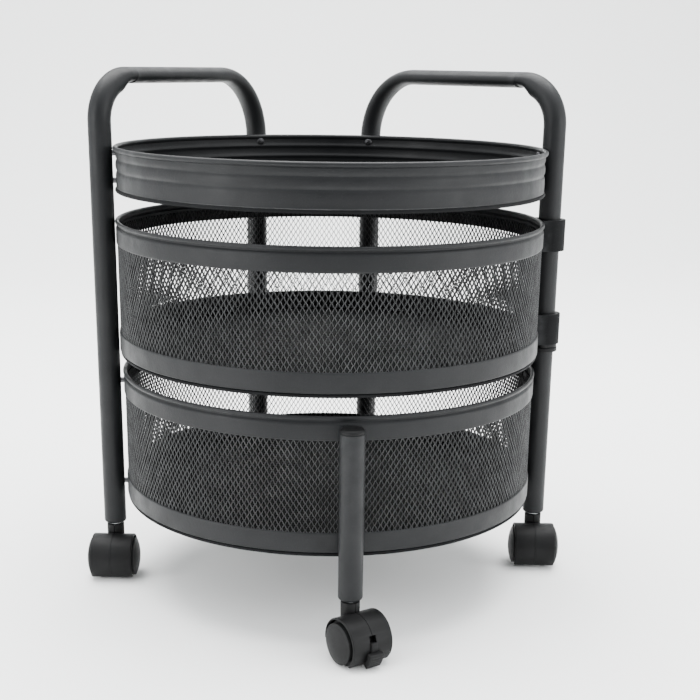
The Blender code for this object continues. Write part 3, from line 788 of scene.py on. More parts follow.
@dataclass(frozen=True)
class ExpandedMetal:
    """A ring of expanded metal: zigzag strands that meet their neighbours at every knot."""

    radius: float
    low: float
    high: float
    columns: int = 238
    cell_height: float = 0.0077
    strand: float = 0.00130
    depth: float = 0.00075

    def strand_shape(self, tree: RepeatTree, sign: float) -> bpy.types.NodeSocket:
        """Make one zigzag strand on the +X side of the ring.

        Args:
            tree: the tree to add it to.
            sign: which way its first leg leans.

        Returns:
            The strand as a mesh.
        """
        stations = tree.maths("ADD", tree.maths("MULTIPLY", tree.size("Rows"), 2.0), 1.0)
        step = tree.maths("DIVIDE", tree.size("Cell Height"), 2.0)
        line = tree.add("GeometryNodeMeshLine", {"Count": stations, "Offset":
                                                 tree.vector(z=step)}, mode="OFFSET")
        index = tree.add("GeometryNodeInputIndex").outputs[0]
        odd = tree.maths("MODULO", index, 2.0)
        lean = tree.maths("SUBTRACT", tree.maths("MULTIPLY", odd, 2.0 * sign), sign)
        side = tree.maths("MULTIPLY", lean, tree.size("Swing"))
        height = tree.maths("ADD", tree.maths("MULTIPLY", index, step), tree.size("Low"))
        x = tree.maths("MULTIPLY", tree.size("Radius"), tree.maths("COSINE", side))
        y = tree.maths("MULTIPLY", tree.size("Radius"), tree.maths("SINE", side))
        moved = tree.add("GeometryNodeSetPosition", {0: line.outputs[0], "Position":
                                                     tree.vector(x, y, height)})
        curve = tree.add("GeometryNodeMeshToCurve", {0: moved.outputs[0]})
        section = tree.add("GeometryNodeCurvePrimitiveQuadrilateral",
                           {"Width": tree.size("Strand"), "Height": tree.size("Depth")})
        skin = tree.add("GeometryNodeCurveToMesh", {0: curve.outputs[0], 1: section.outputs[0],
                                                    "Fill Caps": True})
        return skin.outputs[0]

    def mesh(self, name: str, axis: Vector, finish: bpy.types.Material) -> bpy.types.Mesh:
        """Build the ring.

        Args:
            name: name of the tree and its mesh.
            axis: where the ring's axis stands.
            finish: its material.

        Returns:
            A plain mesh in the frame's own place.
        """
        rows = int((self.high - self.low) / self.cell_height)
        pitch = 2 * math.pi / self.columns
        swing = pitch / 4 - 0.25 * self.strand / self.radius
        tree = RepeatTree(name, {"Radius": self.radius, "Low": self.low, "Rows": rows,
                                 "Columns": self.columns, "Swing": swing,
                                 "Cell Height": (self.high - self.low) / rows,
                                 "Strand": self.strand, "Depth": self.depth})
        points = tree.add("GeometryNodePoints", {"Count": tree.size("Columns")}).outputs[0]
        index = tree.add("GeometryNodeInputIndex").outputs[0]
        turn = tree.maths("DIVIDE", tree.maths("MULTIPLY", index, 2 * math.pi),
                          tree.size("Columns"))
        half = tree.maths("DIVIDE", math.pi, tree.size("Columns"))
        first = tree.instances(points, self.strand_shape(tree, 1.0), tree.vector(z=turn))
        second = tree.instances(points, self.strand_shape(tree, -1.0),
                                tree.vector(z=tree.maths("ADD", turn, half)))
        mesh = tree.run(tree.join(first, second), finish)
        mesh.transform(Matrix.Translation(axis))
        return mesh


@dataclass(frozen=True)
class StudSet:
    """Screws with a domed, cross-slotted head inside the wall and a spacer against the post."""

    shank: float = 0.0019
    collar: float = 0.0026
    head: float = 0.0040
    crown: float = 0.0016
    slot_half: float = 0.00035
    slot_depth: float = 0.0009

    def screw(self, inner: float, outer: float, face: float, reach: float) -> bpy.types.Mesh:
        """Make one screw that lies along +X.

        Args:
            inner: radius of the wall's inside.
            outer: radius of the wall's outside.
            face: radius of the post's face.
            reach: how far the thread stands inside the post.

        Returns:
            The screw's mesh.
        """
        dome = [(self.head * math.sin(math.radians(a)), inner - self.crown *
                 math.cos(math.radians(a))) for a in range(0, 91, 15)]
        body = [(self.shank, inner), (self.shank, outer), (self.collar, outer),
                (self.collar, face), (self.shank, face), (self.shank, face + reach),
                (0.0, face + reach)]
        mesh = finished(revolve(dome + body, ORIGIN, 24, closed=False), "stud_screw")
        for half_x, half_y in ((self.head / 2, self.slot_half), (self.slot_half, self.head / 2)):
            low = inner - 2 * self.crown
            high = inner - self.crown + self.slot_depth
            corners = ((-half_x, -half_y), (half_x, -half_y), (half_x, half_y), (-half_x, half_y))
            rings = [[Vector((x, y, z)) for x, y in corners] for z in (low, high)]
            mesh = combined(mesh, loft(rings), "DIFFERENCE")
        mesh.transform(Matrix.Rotation(math.pi / 2, 4, "Y"))
        return mesh

    def mesh(self, name: str, screw: bpy.types.Mesh, places: Sequence[tuple[Post, float]],
             finish: bpy.types.Material) -> bpy.types.Mesh:
        """Repeat the screw at posts and heights.

        Args:
            name: name of the tree and its mesh.
            screw: the screw, along +X from the tiers' axis.
            places: post and height of each screw.
            finish: its material.

        Returns:
            A plain mesh in the frame's own place.
        """
        pattern = work_object(screw)
        tree = RepeatTree(name, {"Size": 1.0})
        info = tree.add("GeometryNodeObjectInfo", {"Object": pattern})
        centre = LAYOUT.tier_axis()
        turns = [math.atan2(*LAYOUT.outward(post).yx) for post, _ in places]
        points = [Vector((centre.x, centre.y, height)) for _, height in places]
        index = tree.add("GeometryNodeInputIndex").outputs[0]
        turn: object = 0.0
        for number, angle in enumerate(turns):
            here = tree.maths("COMPARE", index, float(number))
            turn = tree.maths("ADD", turn, tree.maths("MULTIPLY", here, angle))
        placed = tree.instances(tree.source.outputs[0], info.outputs["Geometry"],
                                tree.vector(z=turn))
        mesh = tree.run(placed, finish, points)
        bpy.data.objects.remove(pattern)
        return mesh


# ---- Tiers -----------------------------------------------------------------------------
@dataclass(frozen=True)
class FloorPan:
    """A pressed floor with a raised ring and a lip rolled under at its edge."""

    node: str
    body: str
    sheet: float = 0.0010
    recess: float = 0.0008
    ring_width: float = 0.0075
    ramp: float = 0.0016
    fold_r: float = 0.0012
    fold_steps: int = 4
    lip_end: float = -70.0
    lip_steps: int = 14
    segments: int = 192

    def outline(self) -> Outline:
        """Trace the pan's skin from the middle of its floor and back."""
        low, high = LAYOUT.span(self.node)
        edge = LAYOUT.radius(self.node)
        half = self.sheet / 2
        bead = (high - low) / 2
        ring = edge - self.ring_width
        path = [(0.0, high - self.recess - half), (ring, high - self.recess - half)]
        path += [(ring + self.ramp, high - half)]
        path += arc((edge - bead, low + bead), bead - half, 90.0, self.lip_end,
                    self.lip_steps)
        path = rounded(path[:4], self.fold_r, self.fold_steps, closed=False) + path[4:]
        skin = sheet_outline(path, self.sheet)
        skin[0] = (0.0, high - self.recess)
        skin[-1] = (0.0, high - self.recess - self.sheet)
        return skin

    def build(self, finishes: Finishes) -> None:
        """Build and place the pan."""
        skin = revolve(self.outline(), LAYOUT.tier_axis(), self.segments, closed=False)
        place(self.node + "_rolled", finished(skin, self.node), finishes.dark, self.body,
              (self.node,))


@dataclass(frozen=True)
class Tray:
    """The solid tray on top: a ribbed wall with a curled rim, and its floor."""

    body: str = "frame"
    sheet: float = 0.0010
    bead_r: float = 0.0023
    wall_inset: float = 0.0030
    rib_drops: tuple[float, ...] = (0.0119, 0.0227)
    groove_depth: float = 0.0010
    groove_width: float = 0.0018
    crown: float = 0.00018
    crowns: tuple[tuple[float, float], ...] = ((0.0060, 0.0030), (0.0172, 0.0030),
                                               (0.0300, 0.0042))
    row_height: float = 0.0006
    curl: tuple[float, float] = (-75.0, 215.0)
    curl_steps: int = 26
    foot_gap: float = 0.0002
    sharp: float = 60.0
    segments: int = 192

    def wall_shift(self, drop: float) -> float:
        """How far the ribbing moves the wall outwards.

        Args:
            drop: distance below the rim's top.

        Returns:
            The shift; it is negative in a groove.
        """
        shift = sum(-self.groove_depth * bell(drop - at, self.groove_width)
                    for at in self.rib_drops)
        return shift + sum(self.crown * bell(drop - at, width) for at, width in self.crowns)

    def outline(self) -> Outline:
        """Trace the wall's skin: out round the curl, and down the ribbed wall."""
        low, high = LAYOUT.span("tray_wall")
        edge = LAYOUT.radius("tray_wall")
        curl = arc((edge - self.bead_r, high - self.bead_r), self.bead_r - self.sheet / 2,
                   *self.curl, self.curl_steps)
        start = high - 2 * self.bead_r
        rows = int((start - low) / self.row_height)
        wall = []
        for i in range(rows + 1):
            height = start + (low + self.foot_gap - start) * i / rows
            wall.append((edge - self.wall_inset + self.wall_shift(high - height), height))
        return sheet_outline(curl + wall, self.sheet)

    def build(self, finishes: Finishes) -> None:
        """Build and place the tray."""
        skin = revolve(self.outline(), LAYOUT.tier_axis(), self.segments)
        place("tray_ribbed_wall", finished(skin, "tray_wall", self.sharp), finishes.coat, self.body,
              ("tray_wall",))
        FloorPan("tray_pan", self.body).build(finishes)


@dataclass(frozen=True)
class Basket:
    """A mesh basket: curled upper band, expanded-metal wall, lower band and floor."""

    name: str
    body: str
    sheet: float = 0.0010
    bead_r: float = 0.0019
    band_inset: float = 0.0010
    groove_inset: float = 0.0030
    shoulder_drop: float = 0.0066
    shoulder_rise: float = 0.0009
    hem: float = 0.0011
    flange: float = 0.0040
    curl: tuple[float, float] = (-55.0, 232.0)
    curl_steps: int = 26
    groove_rise: float = 0.0012
    upper_fold_r: float = 0.0010
    lower_fold_r: float = 0.0008
    fold_steps: int = 5
    mesh_inset: float = 0.0004
    sharp: float = 60.0
    segments: int = 192

    def node(self, part: str) -> str:
        """The CAD name of one of the basket's parts."""
        return f"{self.name}_{part}"

    def upper_outline(self) -> Outline:
        """Trace the upper band: curl, groove, shoulder, flat band and hem."""
        low, high = LAYOUT.span(self.node("upper_band"))
        edge = LAYOUT.radius(self.node("upper_band"))
        curl = arc((edge - self.bead_r, high - self.bead_r), self.bead_r - self.sheet / 2,
                   *self.curl, self.curl_steps)
        groove = (edge - self.groove_inset, high - self.shoulder_drop + self.groove_rise)
        shoulder = (edge - self.band_inset, high - self.shoulder_drop - self.shoulder_rise)
        foot = (edge - self.band_inset, low + self.hem)
        path = rounded([curl[-1], groove, shoulder, foot,
                        (edge - self.band_inset - self.hem / 2, low + self.sheet / 2)],
                       self.upper_fold_r, self.fold_steps, closed=False)
        return sheet_outline(curl[:-1] + path, self.sheet)

    def lower_outline(self) -> Outline:
        """Trace the lower band with a hem at its top and a flange on the floor pan."""
        low, high = LAYOUT.span(self.node("lower_band"))
        middle = LAYOUT.radius(self.node("lower_band")) - self.sheet / 2
        path = rounded([(middle - self.hem / 2, high - self.sheet / 2),
                        (middle, high - self.hem), (middle, low + self.sheet / 2),
                         (middle - self.flange, low + self.sheet / 2)],
                       self.lower_fold_r, self.fold_steps, closed=False)
        return sheet_outline(path, self.sheet)

    def build(self, finishes: Finishes) -> None:
        """Build and place the basket."""
        axis = LAYOUT.tier_axis()
        for part, outline in (("upper_band", self.upper_outline()),
                              ("lower_band", self.lower_outline())):
            skin = revolve(outline, axis, self.segments)
            place(self.node(part) + "_formed", finished(skin, self.node(part), self.sharp),
                  finishes.coat, self.body, (self.node(part),))
        low, high = LAYOUT.span(self.node("mesh_wall"))
        metal = ExpandedMetal(LAYOUT.radius(self.node("mesh_wall")) - self.mesh_inset, low, high)
        mesh = metal.mesh(self.name + "_expanded_metal", axis, finishes.mesh)
        place(self.node("expanded_metal"), mesh, finishes.mesh, self.body,
              (self.node("mesh_wall"),))
        FloorPan(self.node("pan"), self.body).build(finishes)


# ---- Posts -----------------------------------------------------------------------------
def ellipse(centre: Vector, across: Vector, outward: Vector, half_w: float, half_h: float,
            sides: int) -> Ring:
    """Make an oval ring of points.

    Args:
        centre: its middle.
        across: unit direction of its width.
        outward: unit direction of its height.
        half_w: half its width.
        half_h: half its height.
        sides: number of points.

    Returns:
        The points in order.
    """
    turns = [2 * math.pi * i / sides for i in range(sides)]
    return [centre + across * (half_w * math.cos(t)) + outward * (half_h * math.sin(t))
            for t in turns]


@dataclass(frozen=True)
class PostFoot:
    """The lower end of a post: a rounded rim and the bore that takes the caster's stem."""

    tube_r: float = 0.0110
    wall: float = 0.0012
    end_round: float = 0.0024
    bore_r: float = 0.0042
    block_height: float = 0.0300
    steps: int = 6
    sides: int = 48

    def rings(self, base: Vector, low: float, across: Vector,
              outward: Vector) -> tuple[list[Ring], list[Ring]]:
        """Make the outer and inner rings of the foot, from the bottom up.

        Args:
            base: where the post's axis meets the floor.
            low: height of the post's lower end.
            across: one level direction.
            outward: the other level direction.

        Returns:
            The outer rings and the inner rings.
        """
        outer = []
        for i in range(self.steps + 1):
            turn = math.pi / 2 * i / self.steps
            radius = self.tube_r - self.end_round * (1 - math.sin(turn))
            height = low + self.end_round * (1 - math.cos(turn))
            outer.append(ellipse(base + UP * height, across, outward, radius, radius,
                                 self.sides))
        top = low + self.block_height
        inner = [ellipse(base + UP * height, across, outward, radius, radius, self.sides)
                 for height, radius in ((low, self.bore_r), (top, self.bore_r),
                                        (top, self.tube_r - self.wall))]
        return outer, inner


@dataclass(frozen=True)
class HandlePair:
    """A side post and a back post, bent over into one handle with a sleeved joint."""

    side: Post
    back: Post
    foot: PostFoot = PostFoot()
    side_bend_r: float = 0.0390
    back_bend_r: float = 0.0660
    joint_run: float = 0.0450
    joint_gap: float = 0.0003
    grip_half_h: float = 0.0077
    grip_half_w: float = 0.0120
    side_oval_start: float = 0.75
    back_oval_rate: float = 1.15
    bend_steps: int = 40
    dent_length: float = 0.0125
    dent_depth: float = 0.0010
    dent_turn: float = 28.0
    dent_spread: float = 34.0
    dent_steps: int = 14
    sharp: float = 50.0

    def oval(self, post: Post, share: float) -> float:
        """How oval the tube is, from 0 round to 1, at a share of its bend."""
        if post is self.side:
            return smoothstep((share - self.side_oval_start) / (1.0 - self.side_oval_start))
        return min(1.0, self.back_oval_rate * share)

    def rings(self, stations: Sequence[tuple[Vector, Vector, float, float]], across: Vector,
              inset: float) -> list[Ring]:
        """Make rings along the tube.

        Args:
            stations: point, outward direction, oval share and dent share of each ring.
            across: level direction across the handle.
            inset: how far the rings lie inside the outer skin.

        Returns:
            The rings.
        """
        rings = []
        for point, outward, oval, dent in stations:
            half_h = self.foot.tube_r + (self.grip_half_h - self.foot.tube_r) * oval
            half_w = self.foot.tube_r + (self.grip_half_w - self.foot.tube_r) * oval
            centre = point + outward * (self.foot.tube_r - half_h)
            ring = ellipse(centre, across, outward, half_w - inset, half_h - inset,
                           self.foot.sides)
            if dent and not inset:
                front = -math.copysign(self.dent_turn, across.y)
                ring = self.dented(ring, centre, dent, front - 90.0)
            rings.append(ring)
        return rings

    def dented(self, ring: Ring, centre: Vector, dent: float, middle: float) -> Ring:
        """Press the crimp into one ring.

        Args:
            ring: the ring's points.
            centre: the ring's centre.
            dent: the crimp's share of its full depth here.
            middle: angle of the crimp's middle round the ring, in degrees.

        Returns:
            The ring with the crimp.
        """
        result = []
        for i, point in enumerate(ring):
            turn = (360.0 * i / len(ring) - middle + 180.0) % 360.0 - 180.0
            depth = self.dent_depth * dent * bell(turn, self.dent_spread * dent)
            result.append(point + (centre - point).normalized() * depth)
        return result

    def dent_share(self, post: Post, to_joint: float) -> float:
        """How deep the crimp is at a distance from the joint; the back post has none."""
        if post is not self.side:
            return 0.0
        return smoothstep(1.0 - to_joint / self.dent_length)

    def mesh(self, post: Post, other: Post, run_length: float) -> bpy.types.Mesh:
        """Build one post with its half of the handle.

        Args:
            post: the post to build.
            other: the post that it bends towards.
            run_length: level distance from its axis to its end at the joint.

        Returns:
            The post's mesh.
        """
        low, high = LAYOUT.span(post.value + "_post")
        base = LAYOUT.post_axis(post)
        run = (LAYOUT.post_axis(other) - base).normalized()
        across = run.cross(UP)
        middle = high - self.foot.tube_r
        bend_r = self.side_bend_r if post is self.side else self.back_bend_r
        stations = []
        for i in range(self.bend_steps + 1):
            turn = math.pi / 2 * i / self.bend_steps
            point = base + run * (bend_r * (1 - math.cos(turn)))
            point = point + UP * (middle - bend_r * (1 - math.sin(turn)))
            outward = UP * math.sin(turn) - run * math.cos(turn)
            share = i / self.bend_steps
            to_joint = run_length - bend_r + bend_r * (math.pi / 2 - turn)
            stations.append((point, outward, self.oval(post, share),
                             self.dent_share(post, to_joint)))
        for i in range(1, self.dent_steps + 1):
            here = bend_r + (run_length - bend_r) * i / self.dent_steps
            stations.append((base + run * here + UP * middle, UP, 1.0,
                             self.dent_share(post, run_length - here)))
        outer, inner = self.foot.rings(base, low, across, -run)
        outer += self.rings(stations, across, 0.0)
        inner += self.rings(stations, across, self.foot.wall)
        return finished(loft(outer + inner[::-1], closed=True), post.value + "_post", self.sharp)

    def build(self, finishes: Finishes) -> None:
        """Build and place both posts, and dress the sleeve inside their joint."""
        span = (LAYOUT.post_axis(self.side) - LAYOUT.post_axis(self.back)).length
        half = self.joint_gap / 2
        runs = ((self.side, self.back, self.joint_run - half),
                (self.back, self.side, span - self.joint_run - half))
        for post, other, length in runs:
            node = post.value + "_post"
            place(post.value + "_bent_post", self.mesh(post, other, length), finishes.coat,
                  "frame", (node,))
        dress_nodes([self.side.value + "_handle_joiner"], finishes.steel)


@dataclass(frozen=True)
class FrontLeg:
    """The short front leg with its plastic cap."""

    foot: PostFoot = PostFoot()
    cap_seat: float = 0.0003
    plug_gap: float = 0.0003
    rim_ease: float = 0.0003
    cap_edge: float = 0.0002
    cap_side: float = 0.0012
    cap_round: float = 0.0030
    crown_share: float = 0.45
    crown_fall: float = 0.0001
    sides: int = 48
    cap_segments: int = 64

    def build(self, finishes: Finishes) -> None:
        """Build and place the leg and the cap."""
        base = LAYOUT.post_axis(Post.FRONT)
        low, high = LAYOUT.span("front_leg")
        outward = LAYOUT.outward(Post.FRONT)
        across = outward.cross(UP)
        outer, inner = self.foot.rings(base, low, across, outward)
        top = base + UP * high
        radius = self.foot.tube_r
        eased_r = radius - self.rim_ease
        outer.append(ellipse(top - UP * self.rim_ease, across, outward, radius, radius,
                             self.sides))
        outer.append(ellipse(top, across, outward, eased_r, eased_r, self.sides))
        bore = radius - self.foot.wall
        inner.append(ellipse(top, across, outward, bore, bore, self.sides))
        place("front_leg_tube", finished(loft(outer + inner[::-1], closed=True), "front_leg"),
              finishes.coat, "frame", ("front_leg",))
        bottom, crown = LAYOUT.span("front_leg_cap")
        plug = bore - self.plug_gap
        seat = high + self.cap_seat
        outline = [(0.0, bottom), (plug, bottom), (plug, seat), (radius - self.cap_edge, seat),
                   (radius, seat + self.rim_ease), (radius, seat + self.cap_side)]
        outline += arc((radius - self.cap_round, seat + self.cap_side), self.cap_round, 10.0,
                       80.0, 6)
        outline += [(radius * self.crown_share, crown - self.crown_fall), (0.0, crown)]
        cap = revolve(outline, base, self.cap_segments, closed=False)
        place("front_leg_end_cap", finished(cap, "front_leg_cap"), finishes.bush, "frame",
              ("front_leg_cap",))


@dataclass(frozen=True)
class Studs:
    """The screws that hold the tray and the bottom basket to the posts."""

    post_face: float = 0.2073
    reach: float = 0.0035
    tray_inner: float = 0.2033
    tray_outer: float = 0.2043
    basket_inner: float = 0.2021
    basket_outer: float = 0.2041
    tray_low: float = 0.3964
    sides: tuple[Post, ...] = (Post.LEFT, Post.RIGHT, Post.BACK_LEFT, Post.BACK_RIGHT)

    def middle(self, node: str) -> float:
        """Height of a CAD stud's axis."""
        low, high = LAYOUT.span(node)
        return (low + high) / 2

    def build(self, finishes: Finishes) -> None:
        """Build and place both sets."""
        maker = StudSet()
        tray_high = self.middle("tray_stud_left")
        places = [(post, height) for post in self.sides for height in (tray_high, self.tray_low)]
        screw = maker.screw(self.tray_inner, self.tray_outer, self.post_face, self.reach)
        mesh = maker.mesh("tray_studs", screw, places, finishes.screw)
        place("tray_studs", mesh, finishes.screw, "frame",
              [f"tray_stud_{post.value}" for post in self.sides])
        posts = self.sides + (Post.FRONT,)
        high = self.middle("bottom_basket_stud_left")
        low = self.middle("front_leg_lower_stud")
        places = [(post, height) for post in posts for height in (high, low)]
        screw = maker.screw(self.basket_inner, self.basket_outer, self.post_face, self.reach)
        mesh = maker.mesh("bottom_basket_studs", screw, places, finishes.screw)
        nodes = [f"bottom_basket_stud_{post.value}" for post in posts]
        place("bottom_basket_studs", mesh, finishes.screw, "frame",
              nodes + ["front_leg_lower_stud"])


# ---- Swing hinge -----------------------------------------------------------------------
@dataclass(frozen=True)
class SwingHinge:
    """Two straps with bushes round the right post, and the collar that carries them."""

    body: str = "swing_basket"
    tube_r: float = 0.0110
    run_gap: float = 0.00035
    bush_wall: float = 0.0028
    strap_gap: float = 0.0003
    strap_sheet: float = 0.0015
    bush_half_angle: float = 112.5
    edge: float = 0.0004
    edge_steps: int = 3
    arc_steps: int = 40
    collar_round: float = 0.0006
    collar_segments: int = 64

    def leg_end(self, inner: float) -> float:
        """How far a strap's legs reach from the post's axis towards the basket."""
        basket = LAYOUT.radius("swing_basket_upper_band") + self.strap_gap
        circle = (LAYOUT.post_axis(Post.RIGHT) - LAYOUT.tier_axis()).length
        return math.sqrt(basket ** 2 - inner ** 2) - circle

    def prism(self, outline: Outline, low: float, high: float, name: str) -> bpy.types.Mesh:
        """Raise an outline round the post into a solid with eased edges.

        Args:
            outline: (x, y) points from the post's axis.
            low: lower height.
            high: upper height.
            name: name of the mesh.

        Returns:
            The mesh in place.
        """
        base = LAYOUT.post_axis(Post.RIGHT)
        rings = [[base + Vector((x, y, height)) for x, y in outline] for height in (low, high)]
        return eased(finished(loft(rings), name), self.edge, self.edge_steps)

    def build(self, finishes: Finishes) -> None:
        """Build and place the straps, bushes and collar."""
        bore = self.tube_r + self.run_gap
        inner = bore + self.bush_wall + self.strap_gap
        outer = inner + self.strap_sheet
        end = self.leg_end(inner)
        strap = [(end, -outer)] + arc((0, 0), outer, -90.0, 90.0, self.arc_steps)
        strap += [(end, outer), (end, inner)]
        strap += arc((0, 0), inner, 90.0, -90.0, self.arc_steps) + [(end, -inner)]
        half = self.bush_half_angle
        bush = arc((0, 0), bore + self.bush_wall, -half, half, self.arc_steps)
        bush += arc((0, 0), bore, half, -half, self.arc_steps)
        for level in Level:
            node = level.value + "_hinge_strap"
            mesh = self.prism(strap, *LAYOUT.span(node), node)
            # The straps take the darker coat: partly their own darker finish, partly painted shade
            # on their fronts.
            place(level.value + "_hinge_bent_strap", mesh, finishes.dark, self.body,
                  (node,))
            node = level.value + "_hinge_bush"
            mesh = self.prism(bush, *LAYOUT.span(node), node)
            place(level.value + "_hinge_snap_bush", mesh, finishes.bush, self.body,
                  (node,))
        low, high = LAYOUT.span("swing_stop_collar")
        edge = LAYOUT.radius("swing_stop_collar")
        hole = self.tube_r + self.strap_gap
        ring = rounded([(hole, low), (edge, low), (edge, high), (hole, high)],
                       self.collar_round)
        collar = revolve(ring, LAYOUT.post_axis(Post.RIGHT), self.collar_segments)
        place("swing_stop_ring", finished(collar, "swing_stop_collar"), finishes.bush, "frame",
              ("swing_stop_collar",))


# ---- Casters ---------------------------------------------------------------------------
@dataclass(frozen=True)
class Caster:
    """A twin-wheel caster: stem, moulded hood and two domed wheels.

    Its own +X points from the stem to the axle, and its +Y at the outer wheel.
    """

    post: Post
    wheel_r: float = 0.0208
    wheel_face: float = 0.0210
    wheel_dome: float = 0.0262
    web_half: float = 0.0060
    run_gap: float = 0.0007
    touch_gap: float = 0.0003
    hood_wall: float = 0.0016
    hood_half_w: float = 0.0208
    hood_round: float = 0.0012
    hood_front: float = -48.0
    hood_back: float = 185.0
    hood_steps: int = 72
    boss_r: float = 0.0086
    stem_r: float = 0.0038
    stem_gap: float = 0.0004
    flange_r: float = 0.0066
    axle_r: float = 0.0024
    axle_half: float = 0.0205
    parting_half: float = 0.00030
    parting_depth: float = 0.00045
    cover_share: float = 0.90
    rim_step: float = 0.0032
    tread_round: float = 0.0018
    inner_tread: float = 0.0012
    inner_round: float = 0.0010
    dome_power: float = 0.8
    dome_steps: int = 24
    ring_share: float = 0.80
    ring_depth: float = 0.00030
    ring_width: float = 0.0004
    neck_drop: float = 0.0006
    neck_ease: float = 0.0002
    flange_ease: float = 0.0003
    stem_ease: float = 0.0004
    turned_segments: int = 48
    wheel_segments: int = 96
    wheel_sharp: float = 35.0
    bore_over: float = 0.001
    bore_sides: int = 32
    axle_sides: int = 24
    parting_low: float = -60.0
    parting_high: float = 200.0

    @property
    def hood_r(self) -> float:
        """Outer radius of the hood's drum."""
        return self.wheel_r + self.run_gap + self.hood_wall

    @property
    def trail(self) -> float:
        """Level distance from the stem's axis to the axle."""
        return self.towards_axle().length

    def towards_axle(self) -> Vector:
        """Level vector from the stem's axis to the axle's middle."""
        offset = LAYOUT.anchor(self.post.value + "_roll_outer") - LAYOUT.post_axis(self.post)
        return Vector((offset.x, offset.y, 0.0))

    def matrix(self) -> Matrix:
        """Place of the caster's own frame."""
        offset = self.towards_axle()
        turn = math.atan2(offset.y, offset.x)
        return Matrix.Translation(LAYOUT.post_axis(self.post)) @ Matrix.Rotation(turn, 4, "Z")

    def drum(self) -> bmesh.types.BMesh:
        """Make the hood's outside: a drum with rounded rims, cut off underneath."""
        rims = [(-self.hood_half_w + self.hood_round * (1 - math.sin(math.radians(a))),
                 self.hood_round * (1 - math.cos(math.radians(a)))) for a in range(0, 91, 15)]
        sections = [(y, drop) for y, drop in rims[::-1]]
        sections += [(-y, drop) for y, drop in rims]
        rings = []
        for y, drop in sorted(sections):
            points = arc((self.trail, self.wheel_r), self.hood_r - drop, self.hood_front,
                         self.hood_back, self.hood_steps)
            rings.append([Vector((x, y, z)) for x, z in points])
        return loft(rings)

    def sector(self, inner: float, outer: float, low: float, high: float,
               half_w: float) -> bmesh.types.BMesh:
        """Make a block between two radii and two angles about the axle.

        Args:
            inner: inner radius.
            outer: outer radius.
            low: first angle.
            high: last angle.
            half_w: how far it reaches to each side.

        Returns:
            The block.
        """
        centre = (self.trail, self.wheel_r)
        steps = max(4, int((high - low) / 3))
        outline = arc(centre, outer, low, high, steps) + arc(centre, inner, high, low, steps)
        return extruded(outline, half_w)

    def hood_mesh(self) -> bpy.types.Mesh:
        """Make the hood with its neck, wheel bays, bores and parting groove."""
        top = LAYOUT.span(self.post.value + "_caster_hood")[1]
        mesh = finished(self.drum(), self.post.value + "_hood")
        neck = [(0.0, self.wheel_r), (self.boss_r, self.wheel_r),
                (self.boss_r, top - self.neck_drop),
                (self.boss_r - self.neck_ease, top - self.neck_ease),
                (self.boss_r - self.neck_drop, top), (0.0, top)]
        mesh = combined(mesh, revolve(neck, ORIGIN, self.turned_segments, closed=False), "UNION")
        for side in (-1, 1):
            start = Vector((self.trail, side * self.web_half, self.wheel_r))
            end = Vector((self.trail, side * 2 * self.wheel_dome, self.wheel_r))
            bay = cylinder(self.wheel_r + self.run_gap, start, end, self.hood_steps)
            mesh = combined(mesh, bay, "DIFFERENCE")
        foot = LAYOUT.span(self.post.value + "_caster_stem")[0] - self.touch_gap
        bore = cylinder(self.stem_r + self.stem_gap, Vector((0, 0, foot)),
                        Vector((0, 0, top + self.bore_over)), self.bore_sides)
        mesh = combined(mesh, bore, "DIFFERENCE")
        ends = [Vector((self.trail, side * self.hood_half_w, self.wheel_r)) for side in (-1, 1)]
        axle = cylinder(self.axle_r + self.touch_gap, ends[0], ends[1], self.axle_sides)
        mesh = combined(mesh, axle, "DIFFERENCE")
        parting = self.sector(self.hood_r - self.parting_depth, 2 * self.hood_r,
                              self.parting_low, self.parting_high, self.parting_half)
        return combined(mesh, parting, "DIFFERENCE")

    def wheel_mesh(self, side: str) -> bpy.types.Mesh:
        """Make one wheel: domed disc, ring groove, rounded tread and blind bore.

        Args:
            side: "outer" for the +Y wheel, "inner" for the other.

        Returns:
            The wheel in the caster's own frame.
        """
        rim = self.wheel_r
        face = self.wheel_face
        dome = self.wheel_dome - face
        edge = self.cover_share * rim
        groove = self.ring_share * rim
        outline = []
        for i in range(self.dome_steps + 1):
            radius = edge * i / self.dome_steps
            height = face + dome * (1 - (radius / rim) ** 2) ** self.dome_power
            sunk = self.ring_depth * bell(radius - groove, self.ring_width)
            outline.append((radius, height - sunk))
        shoulder = face - self.rim_step
        outline.append((edge, shoulder))
        outline += arc((rim - self.tread_round, shoulder - self.tread_round),
                       self.tread_round, 90.0, 0.0, 6)
        inner = self.web_half + self.run_gap
        outline.append((rim, inner + self.inner_tread))
        outline += arc((rim - self.inner_round, inner + self.inner_round), self.inner_round,
                       0.0, -90.0, 4)
        bore = self.axle_r + self.touch_gap
        blind = self.axle_half + self.touch_gap
        outline += [(bore, inner), (bore, blind), (0.0, blind)]
        mesh = finished(revolve(outline, ORIGIN, self.wheel_segments, closed=False),
                        f"{self.post.value}_wheel_{side}", self.wheel_sharp)
        turn = -math.pi / 2 if side == "outer" else math.pi / 2
        place_at = Matrix.Translation((self.trail, 0.0, self.wheel_r))
        mesh.transform(place_at @ Matrix.Rotation(turn, 4, "X"))
        return mesh

